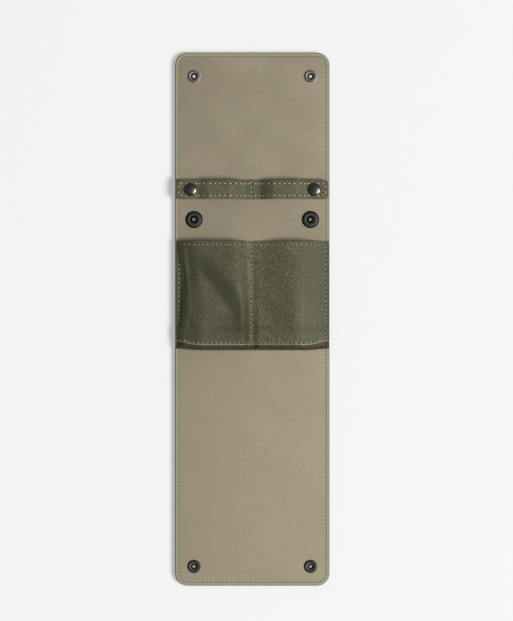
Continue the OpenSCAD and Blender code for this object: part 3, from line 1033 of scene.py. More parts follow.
@dataclass
class Seamwork:
    """Stitches and needle holes along a line, copied from one stitch and one hole."""

    pitch: float = 3.5 * MM
    length: float = 2.0 * MM
    width: float = 0.6 * MM
    height: float = 0.4 * MM
    lifted: float = 0.1
    pulled_in: float = 0.4
    hole_width: float = 0.8 * MM
    hole_height: float = 0.05 * MM
    hole_top: float = 0.8
    parts: list[tuple[np.ndarray, list[tuple[int, ...]]]] = field(default_factory=list)

    def __post_init__(self) -> None:
        """Models the stitch and the hole once."""
        self.parts = [self._stitch(), self._hole()]

    def _take_down(self) -> tuple[np.ndarray, list[tuple[int, ...]]]:
        """Reads the active piece's points and faces, and removes it.

        Returns:
            Its points, and the points of each face.
        """
        piece = bpy.context.object
        points = np.array([v.co[:] for v in piece.data.vertices])
        faces = [tuple(f.vertices) for f in piece.data.polygons]
        bpy.data.objects.remove(piece)
        return points, faces

    def _stitch(self) -> tuple[np.ndarray, list[tuple[int, ...]]]:
        """Models one stitch, plump in the middle and pulled into the leather at its ends.

        Returns:
            Its points, and the points of each face.
        """
        bpy.ops.object.select_all(action="DESELECT")
        bpy.ops.mesh.primitive_uv_sphere_add(segments=8, ring_count=6, radius=0.5)
        piece = Bench.name("stitch")
        Bench.open(piece)
        bpy.ops.mesh.select_all(action="SELECT")
        bpy.ops.transform.rotate(value=math.pi / 2, orient_axis="Y", center_override=(0, 0, 0))
        bpy.ops.transform.resize(value=(self.length, self.width, self.height), center_override=(0, 0, 0))
        Bench.close()
        for point in piece.data.vertices:
            share = abs(point.co.x) / (self.length / 2)
            point.co.z += self.height * (self.lifted - self.pulled_in * share ** 2)
        return self._take_down()

    def _hole(self) -> tuple[np.ndarray, list[tuple[int, ...]]]:
        """Models the pulled-in leather round one needle hole as a low disc, which carries the hole's painted
        shade.

        Returns:
            Its points, and the points of each face.
        """
        bpy.ops.object.select_all(action="DESELECT")
        bpy.ops.mesh.primitive_circle_add(vertices=8, radius=self.hole_width / 2, fill_type="NGON")
        piece = Bench.name("hole")
        Bench.open(piece)
        bpy.ops.mesh.select_all(action="SELECT")
        bpy.ops.mesh.extrude_region_move(TRANSFORM_OT_translate={"value": (0, 0, self.hole_height)})
        bpy.ops.transform.resize(value=(self.hole_top, self.hole_top, 1.0))
        Bench.close()
        return self._take_down()

    def sew(self, name: str, places: np.ndarray, along: np.ndarray, up: np.ndarray,
            materials: Sequence[bpy.types.Material]) -> bpy.types.Object:
        """Copies the stitch and the hole to each place and joins them.

        Args:
            name: Name of the piece.
            places: Middle of each stitch.
            along: Direction of each stitch.
            up: Normal of the leather under it.
            materials: Materials of the thread and of the holes.

        Returns:
            The row of stitches.
        """
        up = up / np.linalg.norm(up, axis=1, keepdims=True)
        along = along - up * np.sum(along * up, axis=1, keepdims=True)
        along = along / np.linalg.norm(along, axis=1, keepdims=True)
        across = np.cross(up, along)
        points, faces, slots = [], [], []
        count = 0
        for slot, (shape, sides) in enumerate(self.parts):
            back = self.pitch / 2 if slot else 0.0
            for p, a, c, u in zip(places, along, across, up):
                points.append(p + a * back + shape[:, :1] * a + shape[:, 1:2] * c + shape[:, 2:] * u)
                faces += [tuple(i + count for i in side) for side in sides]
                slots += [slot] * len(sides)
                count += len(shape)
        piece = Bench.join_up(name, np.concatenate(points), faces)
        Bench.paint(piece, materials)
        for face, slot in zip(piece.data.polygons, slots):
            face.material_index = slot
        return piece

    def row(self, start: Sequence[float], end: Sequence[float]) -> tuple[np.ndarray, np.ndarray]:
        """Spaces stitches evenly on a straight line.

        Args:
            start: One end of the line.
            end: Its other end.

        Returns:
            The middle and the direction of each stitch.
        """
        a, b = np.array(start, float), np.array(end, float)
        count = max(1, round(float(np.linalg.norm(b - a)) / self.pitch))
        share = (np.arange(count) + 0.5) / count
        return a + (b - a) * share[:, None], np.tile(b - a, (count, 1))


@dataclass
class Panel:
    """The long panel: suede lining, outer leather and the seam round them."""

    lining_back: float = 0.45 * MM
    seam_in: float = 2.5 * MM
    groove_half: float = 0.45 * MM
    groove_depth: float = 0.18 * MM
    edge_bevel: float = 0.3 * MM
    outer_bevel: float = 0.55 * MM
    half_bend: float = 3.0 * MM
    bend_loops: int = 12
    corner: float = 9.0 * MM
    seam_pitch: float = 2.8 * MM
    stitch_length: float = 1.7 * MM
    stitch_width: float = 0.8 * MM
    stitch_height: float = 0.36 * MM
    needle_hole: float = 0.5 * MM

    def __post_init__(self) -> None:
        """Takes the panel's sizes from the frame."""
        low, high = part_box("lining_base")
        self.half_width = high.x
        self.half_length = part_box("lining_top_edge")[1].y
        self.z_lining = low.z
        self.z_top = high.z
        self.z_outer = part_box("outer_base")[0].z
        self.stretches = self._stretches()

    def _stretches(self) -> list[Stretch]:
        """Divides the panel half way between its joints.

        Returns:
            The stretches from the short flap's end to the long flap's.
        """
        plan = [
            ("short_edge", "top_edge_bend", "top_flap", "top_edge", ("top_edge",)),
            ("short_flap", "top_fold_2", "top_spine", "top_flap", ("top_flap",)),
            ("short_spine", "top_fold_1", "base", "top_spine", ("top_spine", "base")),
            ("long_spine", "bottom_fold_1", "base", "bottom_spine", ("bottom_spine",)),
            ("long_flap", "bottom_fold_2", "bottom_spine", "bottom_flap", ("bottom_flap",)),
            ("long_dip", "bottom_dip_bend", "bottom_flap", "bottom_dip", ("bottom_dip",)),
            ("long_edge", "bottom_edge_bend", "bottom_dip", "bottom_edge", ("bottom_edge",)),
        ]
        rows = [joint_place(p[1]).y for p in plan]
        cuts = [self.half_length + MM, *[(a + b) / 2 for a, b in zip(rows, rows[1:])], -self.half_length - MM]
        return [Stretch(p[0], cuts[i + 1], cuts[i], p[1], p[2], p[3], p[4]) for i, p in enumerate(plan)]

    def skin(self, name: str, back: float, top: float, thickness: float, bevel: float,
             grooved: bool) -> bpy.types.Object:
        """Cuts one skin of the panel, flat, with its seam's groove and rounded edges.

        Args:
            name: Name of the piece.
            back: Set-back of its outline from the panel's.
            top: Height of its upper face.
            thickness: Its thickness.
            bevel: Radius of its edges.
            grooved: Whether the seam sinks into its upper face.

        Returns:
            The skin, still in one piece.
        """
        piece = Bench.rectangle(name, self.half_width - back, self.half_length - back, (0, 0, top))
        bpy.ops.mesh.bevel(affect="VERTICES", offset=self.corner - back, segments=14)
        bpy.ops.mesh.select_all(action="SELECT")
        if grooved:
            bpy.ops.mesh.inset(thickness=self.seam_in - back - self.groove_half, depth=0)
            bpy.ops.mesh.inset(thickness=self.groove_half, depth=-self.groove_depth)
            bpy.ops.mesh.inset(thickness=self.groove_half, depth=self.groove_depth)
        for stretch in self.stretches:
            y = joint_place(stretch.joint).y
            for i in range(self.bend_loops + 1):
                row = y + self.half_bend * (2 * i / self.bend_loops - 1)
                Bench.cut((0, row, 0), (0, 1, 0))
        Bench.close()
        Bench.apply(piece, "SOLIDIFY", thickness=thickness, offset=-1)
        Bench.round_edges(piece, bevel, 3)
        return piece

    def divide(self, whole: bpy.types.Object, cad_prefix: str) -> None:
        """Divides a skin into its stretches, and hides the CAD nodes that they stand for.

        Args:
            whole: The skin in one piece, which is removed.
            cad_prefix: Start of the names of the CAD nodes that it stands for.
        """
        for stretch in self.stretches:
            piece = Bench.copy(whole, f"{whole.name}_{stretch.name}")
            Bench.open(piece)
            Bench.cut((0, stretch.low, 0), (0, 1, 0), keep=1)
            Bench.cut((0, stretch.high, 0), (0, 1, 0), keep=-1)
            Bench.close()
            Bench.smooth(piece)
            stretch.hang(piece, self.half_bend)
            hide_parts(*[f"{cad_prefix}_{node}" for node in stretch.cad])
            log.info("%s: %d faces", piece.name, len(piece.data.polygons))
        bpy.data.objects.remove(whole)

    def seam_line(self) -> tuple[np.ndarray, np.ndarray]:
        """Spaces the border's stitches along its rounded outline.

        Returns:
            The middle and the direction of each stitch, in plan.
        """
        x, y, r = self.half_width - self.seam_in, self.half_length - self.seam_in, self.corner - self.seam_in
        turn = math.pi / 2 * r
        sides = [(2 * (y - r), (x, -y + r), 90), (2 * (x - r), (x - r, y), 180),
                 (2 * (y - r), (-x, y - r), 270), (2 * (x - r), (-x + r, -y), 0)]
        total = sum(s[0] for s in sides) + 4 * turn
        count = round(total / self.seam_pitch)
        places, along = [], []
        for i in range(count):
            run = (i + 0.5) * total / count
            for length, start, heading in sides:
                a = math.radians(heading)
                way = (math.cos(a), math.sin(a))
                if run < length:
                    places.append((start[0] + way[0] * run, start[1] + way[1] * run, 0.0))
                    along.append((way[0], way[1], 0.0))
                    break
                run -= length
                if run < turn:
                    b = run / r
                    end = (start[0] + way[0] * length, start[1] + way[1] * length)
                    middle = (end[0] - way[1] * r, end[1] + way[0] * r)
                    places.append((middle[0] + r * math.sin(a + b), middle[1] - r * math.cos(a + b), 0.0))
                    along.append((math.cos(a + b), math.sin(a + b), 0.0))
                    break
                run -= turn
        return np.array(places), np.array(along)

    def border(self, finishes: Finishes, side: Side) -> None:
        """Sews the seam round the panel on one of its sides.

        Args:
            finishes: The materials.
            side: Side of the panel.
        """
        work = Seamwork(self.seam_pitch, self.stitch_length, self.stitch_width, self.stitch_height,
                        hole_width=self.needle_hole)
        places, along = self.seam_line()
        places[:, 2] = self.z_top - self.groove_depth if side is Side.LINING else self.z_outer
        up = np.tile((0.0, 0.0, float(side.value)), (len(places), 1))
        for stretch in self.stretches:
            here = (places[:, 1] >= stretch.low) & (places[:, 1] < stretch.high)
            piece = work.sew(f"seam_{side.name.lower()}_{stretch.name}", places[here], along[here], up[here],
                             (finishes.border_thread, finishes.hole))
            stretch.hang(piece, self.half_bend)

    def build(self, finishes: Finishes) -> None:
        """Builds both skins and their seam.

        Args:
            finishes: The materials.
        """
        lining = self.skin("lining", self.lining_back, self.z_top, self.z_top - self.z_lining,
                           self.edge_bevel, True)
        Bench.paint(lining, (finishes.suede,))
        self.divide(lining, "lining")
        outer = self.skin("outer", 0.0, self.z_lining, self.z_lining - self.z_outer, self.outer_bevel, False)
        Bench.paint(outer, (finishes.outer, finishes.edge), lambda n, _: int(n.z > -0.5))
        self.divide(outer, "outer")
        self.border(finishes, Side.LINING)
        self.border(finishes, Side.OUTSIDE)


@dataclass
class SheetForm:
    """A formed sheet of leather between two grids of points."""

    name: str

    def build(self, upper: np.ndarray, lower: np.ndarray) -> bpy.types.Object:
        """Closes two grids of points into one sheet.

        Args:
            upper: Points of the grain side, in rows.
            lower: Points of the flesh side, in the same rows.

        Returns:
            The sheet.
        """
        ni, nj = upper.shape[:2]
        half = ni * nj
        points = np.concatenate([upper.reshape(-1, 3), lower.reshape(-1, 3)])
        faces: list[tuple[int, ...]] = []
        for i in range(ni - 1):
            for j in range(nj - 1):
                a = i * nj + j
                b = a + nj
                faces += [(a, b, b + 1, a + 1), (half + a, half + a + 1, half + b + 1, half + b)]
        ring = [(i, 0) for i in range(ni)] + [(ni - 1, j) for j in range(1, nj)]
        ring += [(i, nj - 1) for i in range(ni - 2, -1, -1)] + [(0, j) for j in range(nj - 2, 0, -1)]
        index = [i * nj + j for i, j in ring]
        faces += [(a, half + a, half + b, b) for a, b in zip(index, index[1:] + index[:1])]
        return Bench.join_up(self.name, points, faces)


@dataclass(frozen=True)
class Change:
    """A smooth change from 0 to 1 over a width, as a share of a length."""

    start: float
    width: float

    def at(self, share: np.ndarray | float) -> np.ndarray:
        """The change at a share of the length."""
        return ramp((share - self.start) / self.width)


@dataclass(frozen=True)
class Fold:
    """A fold of the pocket's leather by a straight line, in millimetres across and along the panel."""

    start: tuple[float, float]
    end: tuple[float, float]
    height: float

    def locate(self, x: np.ndarray, y: np.ndarray) -> tuple[np.ndarray, np.ndarray]:
        """Finds places by the line.

        Args:
            x: Places across the pocket.
            y: Places along the panel.

        Returns:
            Their share of the way along the line, and how far they are beside it.
        """
        dx, dy = self.end[0] - self.start[0], self.end[1] - self.start[1]
        span = math.hypot(dx, dy)
        run = ((x - self.start[0]) * dx + (y - self.start[1]) * dy) / span ** 2
        return run, ((x - self.start[0]) * dy - (y - self.start[1]) * dx) / span

    @staticmethod
    def ends(run: np.ndarray, soft: float) -> np.ndarray:
        """Share that is 1 between the line's ends and fades out at both over a share of its length."""
        return ramp(run / soft + 0.5) * ramp((1 - run) / soft + 0.5)


@dataclass(frozen=True)
class Crease(Fold):
    """A soft crease, or with a height above 0 a soft ridge."""

    width: float
    soft: float = 0.25

    def relief(self, x: np.ndarray, y: np.ndarray) -> np.ndarray:
        """Height that the crease adds.

        Args:
            x: Places across the pocket.
            y: Places along the panel.

        Returns:
            The height there.
        """
        run, off = self.locate(x, y)
        return self.height * (np.exp(-(off / self.width) ** 2) * self.ends(run, self.soft))


@dataclass(frozen=True)
class Hollow(Fold):
    """A hollow that falls steeply beside a bowed line and comes back up gently on its right."""

    bow: float
    fall: float
    back: float
    soft: float = 0.3
    fall_soft: float = 0.32

    def relief(self, x: np.ndarray, y: np.ndarray) -> np.ndarray:
        """Height that the hollow adds, which is below 0.

        Args:
            x: Places across the pocket.
            y: Places along the panel.

        Returns:
            The height there.
        """
        run, off = self.locate(x, y)
        off = off + 4 * self.bow * np.clip(run, 0, 1) * (1 - np.clip(run, 0, 1))
        profile = slant(off / self.fall + 0.5, self.fall_soft) * (1 - ramp((off - self.fall / 2) / self.back))
        return self.height * (profile * self.ends(run, self.soft))


@dataclass
class Pocket:
    """The divided pocket: a bulging front, a gusset under it, and their seams.

    Sizes are in millimetres, and shares run from the mouth, at 0, to the heel, at 1.
    """

    thickness: float = 1.2
    length: float = 75.4
    half_width: float = 54.6
    seam_x: float = 51.4
    valley_left: float = -2.2
    valley_right: float = 0.2
    left_wall: float = 6.6
    left_wall_at_mouth: float = 5.2
    left_wall_out: float = 2.0
    left_wall_soft: float = 0.35
    slack_from_mouth: Change = Change(0.0, 0.5)
    slack_from_heel: Change = Change(0.0, 0.4)
    shoulder: float = 10.0
    shoulder_low: float = 15.0
    shoulder_share: float = 0.31
    shoulder_start: float = 0.7
    shoulder_change: Change = Change(0.3, 0.4)
    tuck: float = 0.2
    tuck_width: float = 5.0
    tuck_at_mouth: float = 0.3
    tuck_change: Change = Change(0.25, 0.35)
    fold_soft: float = 0.3
    right_wall: float = 17.0
    right_wall_soft: float = 0.12
    right_rise: float = 32.15
    right_rise_soft: float = 0.4
    right_rise_harder: float = 0.28
    inner_slope: float = 11.0
    inner_slope_low: float = 5.5
    inner_slope_soft: float = 0.4
    inner_slope_change: Change = Change(0.15, 0.5)
    mouth_h: float = 7.97
    crown_h: float = 11.3
    crown_rise: Change = Change(0.0, 0.36)
    crown_fall: Change = Change(0.62, 0.38)
    right_drop: float = 1.7
    heel_h: float = 8.6
    gusset_reach: float = 2.8
    gusset_lap: float = 4.0
    lap_gap: float = 0.03
    mouth_seam: float = 2.5
    mouth_back: float = 0.6
    mouth_back_end: Change = Change(0.0, 0.3)
    heel_seam: float = 1.6
    heel_back: float = 1.1
    heel_back_start: Change = Change(0.6, 0.4)
    heel_bow: float = 2.6
    heel_bow_width: float = 17.0
    foot_bow: float = 1.1
    rim_width: float = 0.7
    side_seam: float = 2.4
    foot_seam: float = 0.7
    sunk: float = 0.03
    folds: tuple[Crease | Hollow, ...] = (
        Hollow((-42.0, 45), (-3.0, -12), -5.4, 6.0, 16.0, 27.0),
        Hollow((-3, 22), (36, -14), -2.6, 1.5, 14.0, 30.0),
        Crease((-48.6, 53), (-44.8, 20), 0.5, 1.1),
        Crease((-47, 4), (-41, -14), -0.5, 1.8),
    )
    plump: float = 0.1
    unevenness: float = 0.15
    waves_across: tuple[float, float] = (6.1, 15.0)
    waves_along: tuple[float, float] = (9.7, 7.3)
    folds_from_mouth: Change = Change(0.03, 0.12)
    folds_from_heel: Change = Change(0.0, 0.36)
    folds_up_the_wall: float = 1.9
    lap_heel: float = 0.98
    lap_before: float = 3.3
    lap_width: float = 2.1
    probe: float = 0.02
    edge_radius: float = 0.4
    columns: int = 168
    crowding: float = 0.12
    rows: int = 100

    def __post_init__(self) -> None:
        """Takes the pocket's place from the frame."""
        low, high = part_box("pocket_front")
        self.mouth_y = high.y / MM
        self.heel_y = self.mouth_y - self.length
        self.z_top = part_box("lining_base")[1].z / MM

    def in_left(self, x: np.ndarray) -> np.ndarray:
        """Whether a place is over the left compartment."""
        return x < (self.valley_left + self.valley_right) / 2

    def left_lobe(self, x: np.ndarray, v: np.ndarray) -> np.ndarray:
        """Share of the full height over the left compartment, whose wall is steeper at the mouth and heel.

        Args:
            x: Places across the pocket.
            v: Shares from the mouth to the heel.

        Returns:
            The share there.
        """
        slack = self.slack_from_mouth.at(v) * self.slack_from_heel.at(1 - v)
        start = -self.seam_x - self.left_wall_out * (1 - slack)
        width = self.left_wall_at_mouth + (self.left_wall - self.left_wall_at_mouth) * slack
        shoulder = self.shoulder + (self.shoulder_low - self.shoulder) * self.shoulder_change.at(v)
        past_start = (x - start - self.shoulder_start * width) / shoulder
        wall = ((1 - self.shoulder_share) * slant((x - start) / width, self.left_wall_soft)
                + self.shoulder_share * slant(past_start, self.fold_soft))
        slope = self.inner_slope + (self.inner_slope_low - self.inner_slope) * self.inner_slope_change.at(v)
        return wall * slant((self.valley_left - x) / slope, self.inner_slope_soft)

    def right_lobe(self, x: np.ndarray, v: np.ndarray) -> np.ndarray:
        """Share of the full height over the right compartment: a tuck beside the seam and a long rise.

        Args:
            x: Places across the pocket.
            v: Shares from the mouth to the heel.

        Returns:
            The share there.
        """
        low_down = self.tuck_change.at(v)
        tuck = self.tuck * (self.tuck_at_mouth + (1 - self.tuck_at_mouth) * low_down)
        rise_soft = self.right_rise_soft - self.right_rise_harder * low_down
        rise = (tuck * slant((x - self.valley_right) / self.tuck_width, self.fold_soft)
                + (1 - tuck) * slant((x - self.valley_right) / self.right_rise, rise_soft))
        return rise * slant((self.seam_x - x) / self.right_wall, self.right_wall_soft)

    def lobe(self, x: np.ndarray, v: np.ndarray) -> np.ndarray:
        """Share of the full height over both compartments."""
        return np.where(self.in_left(x), self.left_lobe(x, v), self.right_lobe(x, v))

    def crown(self, x: np.ndarray, v: np.ndarray) -> np.ndarray:
        """Full inner height of each compartment from the mouth to the heel."""
        top = np.where(self.in_left(x), self.crown_h, self.crown_h - self.right_drop)
        return (self.mouth_h + (top - self.mouth_h) * self.crown_rise.at(v)
                - (top - self.heel_h) * self.crown_fall.at(v))

    def beside_seams(self, x: np.ndarray) -> np.ndarray:
        """Share that is 1 at the panel's sides and 0 away from them."""
        return 1 - ramp((self.half_width - np.abs(x)) / self.heel_bow_width)

    def on_rim(self, at: Vector) -> bool:
        """Whether a place in metres is on the front's lower rim, which takes the pale edge colour."""
        edge = self.heel_y + self.heel_back + self.heel_bow * self.beside_seams(at.x / MM)
        return at.y / MM < edge + self.rim_width

    def row_y(self, x: np.ndarray, v: np.ndarray) -> np.ndarray:
        """Place along the panel of a share, with the mouth set back and the heel more so beside the seams.

        Args:
            x: Places across the pocket.
            v: Shares from the mouth to the heel.

        Returns:
            The place there.
        """
        mouth_back = self.mouth_back * (1 - self.mouth_back_end.at(v))
        heel_back = (self.heel_back + self.heel_bow * self.beside_seams(x)) * self.heel_back_start.at(v)
        return self.mouth_y - v * self.length - mouth_back + heel_back

    def wrinkles(self, x: np.ndarray, v: np.ndarray) -> np.ndarray:
        """Hollows and creases that the leather has taken with use.

        Args:
            x: Places across the pocket.
            v: Shares from the mouth to the heel.

        Returns:
            The height that they add, which fades out at the mouth and the heel.
        """
        y = self.mouth_y - v * self.length
        relief = self.plump + sum(fold.relief(x, y) for fold in self.folds)
        across, along = self.waves_across, self.waves_along
        waves = np.sin(x / across[0] + y / along[0]) * np.sin(y / along[1] - x / across[1])
        relief += self.unevenness * waves
        return relief * self.folds_from_mouth.at(v) * self.folds_from_heel.at(1 - v)

    def inner_z(self, x: np.ndarray, v: np.ndarray) -> np.ndarray:
        """Inner height of the front over the lining, lifted over the gusset's lap.

        Args:
            x: Places across the pocket.
            v: Shares from the mouth to the heel.

        Returns:
            The height there.
        """
        share = self.gusset_lap / self.length
        lap = Change(self.lap_heel - self.lap_before * share, self.lap_width * share)
        lobe = self.lobe(x, v)
        folded = np.minimum(1, self.folds_up_the_wall * lobe)
        return (lobe * self.crown(x, v) + folded * self.wrinkles(x, v)
                + (self.thickness + self.lap_gap) * lap.at(v))

    def surface(self, x: np.ndarray, v: np.ndarray, over: float) -> tuple[np.ndarray, np.ndarray]:
        """Points at a height over the front's inner face.

        Args:
            x: Places across the pocket.
            v: Shares from the mouth to the heel.
            over: Height along the normal.

        Returns:
            The points in metres and the normals there.
        """
        e, f = self.probe, self.probe / 10
        sx = (self.inner_z(x + e, v) - self.inner_z(x - e, v)) / (2 * e)
        sy = (self.inner_z(x, v - f) - self.inner_z(x, v + f)) / (2 * f * self.length)
        k = np.sqrt(1 + sx ** 2 + sy ** 2)
        points = np.stack([x - over * sx / k, self.row_y(x, v) - over * sy / k,
                           self.z_top + self.inner_z(x, v) + over / k], axis=-1)
        return points * MM, np.stack([-sx / k, -sy / k, 1 / k], axis=-1)

    def front(self, finishes: Finishes) -> bpy.types.Object:
        """Forms the front, and works out its cut size without using it.

        Args:
            finishes: The materials.

        Returns:
            The front.
        """
        even = np.linspace(-1, 1, self.columns + 1)
        x, v = np.meshgrid(self.half_width * (even + self.crowding * np.sin(np.pi * even)),
                           np.linspace(0, 1, self.rows + 1), indexing="ij")
        upper, _ = self.surface(x, v, self.thickness)
        lower, _ = self.surface(x, v, 0.0)
        piece = SheetForm("pocket_front_leather").build(upper, lower)
        Bench.round_edges(piece, self.edge_radius * MM, 2)
        Bench.smooth(piece, 50)
        Bench.paint(piece, (finishes.olive, finishes.backing, finishes.raw_edge),
                    lambda n, at: 2 if n.z > -0.2 and self.on_rim(at) else int(n.z < -0.2))
        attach(piece, "base")
        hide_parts("pocket_front")
        middle, _ = self.surface(x, v, self.thickness / 2)
        run = np.linalg.norm(np.diff(middle, axis=0), axis=2).sum(axis=0)
        fall = np.linalg.norm(np.diff(middle, axis=1), axis=2).sum(axis=1)
        return piece

    def gusset(self, finishes: Finishes) -> bpy.types.Object:
        """Forms the gusset: turned in under the front, down its wall, out as a sewn foot.

        Args:
            finishes: The materials.

        Returns:
            The gusset.
        """
        x = np.linspace(-self.half_width, self.half_width, self.columns + 1)
        h = self.inner_z(x, np.ones_like(x)) - self.lap_gap
        lap, foot, t = self.gusset_lap, -self.gusset_reach, self.thickness
        low, floor = h - t, np.zeros_like(h)
        # Both sections run from the lap to the foot: the place past the heel, and the height there.
        outside = [(lap, h), (2.0, h), (-0.2, h), (-0.8, h * 0.93), (-1.1, (h + t) / 2 + 0.8),
                   (-1.35, (h + t) / 2), (-1.6, t + 0.08 * h), (-2.0, t + floor), (foot, t + floor)]
        inside = [(lap, low), (2.0, low), (0.9, low), (0.4, 0.93 * low), (0.1, 0.7 * low),
                  (-0.1, 0.5 * low), (-0.4, 0.15 * low), (-0.7, floor), (foot, floor)]
        bow = self.foot_bow * self.beside_seams(x)
        grids = [np.stack([np.stack([x, self.heel_y + past + bow * (past < 0), self.z_top + z], axis=-1)
                           for past, z in section], axis=1) * MM for section in (outside, inside)]
        piece = SheetForm("pocket_gusset_leather").build(*grids)
        Bench.paint(piece, (finishes.gusset, finishes.backing), lambda n, _: int(n.y > 0.5))
        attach(piece, "base")
        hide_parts("pocket_gusset")
        return piece

    def sew(self, finishes: Finishes) -> None:
        """Sews the mouth, the sides, the middle, the bottom and the gusset's foot.

        Args:
            finishes: The materials.
        """
        work = Seamwork(pitch=3.2 * MM, length=1.9 * MM, width=0.55 * MM, height=0.36 * MM)
        mouth = self.mouth_seam / self.length
        heel = 1 - self.heel_seam / self.length
        side = self.half_width - self.side_seam
        middle = (self.valley_left + self.valley_right) / 2
        lines = {
            "mouth": ((-side, mouth), (side, mouth)),
            "left": ((-side, mouth), (-side, heel)),
            "right": ((side, mouth), (side, heel)),
            "middle": ((middle, mouth), (middle, heel)),
            "bottom": ((-side, heel), (side, heel)),
        }
        for name, (start, end) in lines.items():
            a = np.array((start[0] * MM, start[1] * self.length * MM, 0))
            b = np.array((end[0] * MM, end[1] * self.length * MM, 0))
            spots, _ = work.row(a, b)
            x, v = spots[:, 0] / MM, spots[:, 1] / MM / self.length
            places, up = self.surface(x, v, self.thickness - self.sunk)
            ahead = (b - a) / np.linalg.norm(b - a)
            more, _ = self.surface(x + ahead[0], v + ahead[1] / self.length, self.thickness - self.sunk)
            piece = work.sew(f"pocket_seam_{name}", places, more - places, up,
                             (finishes.thread, finishes.hole))
            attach(piece, "base")
        y = (self.heel_y - self.gusset_reach + self.foot_seam) * MM
        z = (self.z_top + self.thickness) * MM
        places, along = work.row((-side * MM, y, z), (side * MM, y, z))
        places[:, 1] += self.foot_bow * self.beside_seams(places[:, 0] / MM) * MM
        up = np.tile((0.0, 0.0, 1.0), (len(places), 1))
        piece = work.sew("pocket_seam_foot", places, along, up, (finishes.foot_thread, finishes.hole))
        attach(piece, "base")

    def build(self, finishes: Finishes) -> None:
        """Builds the whole pocket.

        Args:
            finishes: The materials.
        """
        for piece in (self.front(finishes), self.gusset(finishes)):
            log.info("%s: %d faces", piece.name, len(piece.data.polygons))
        self.sew(finishes)


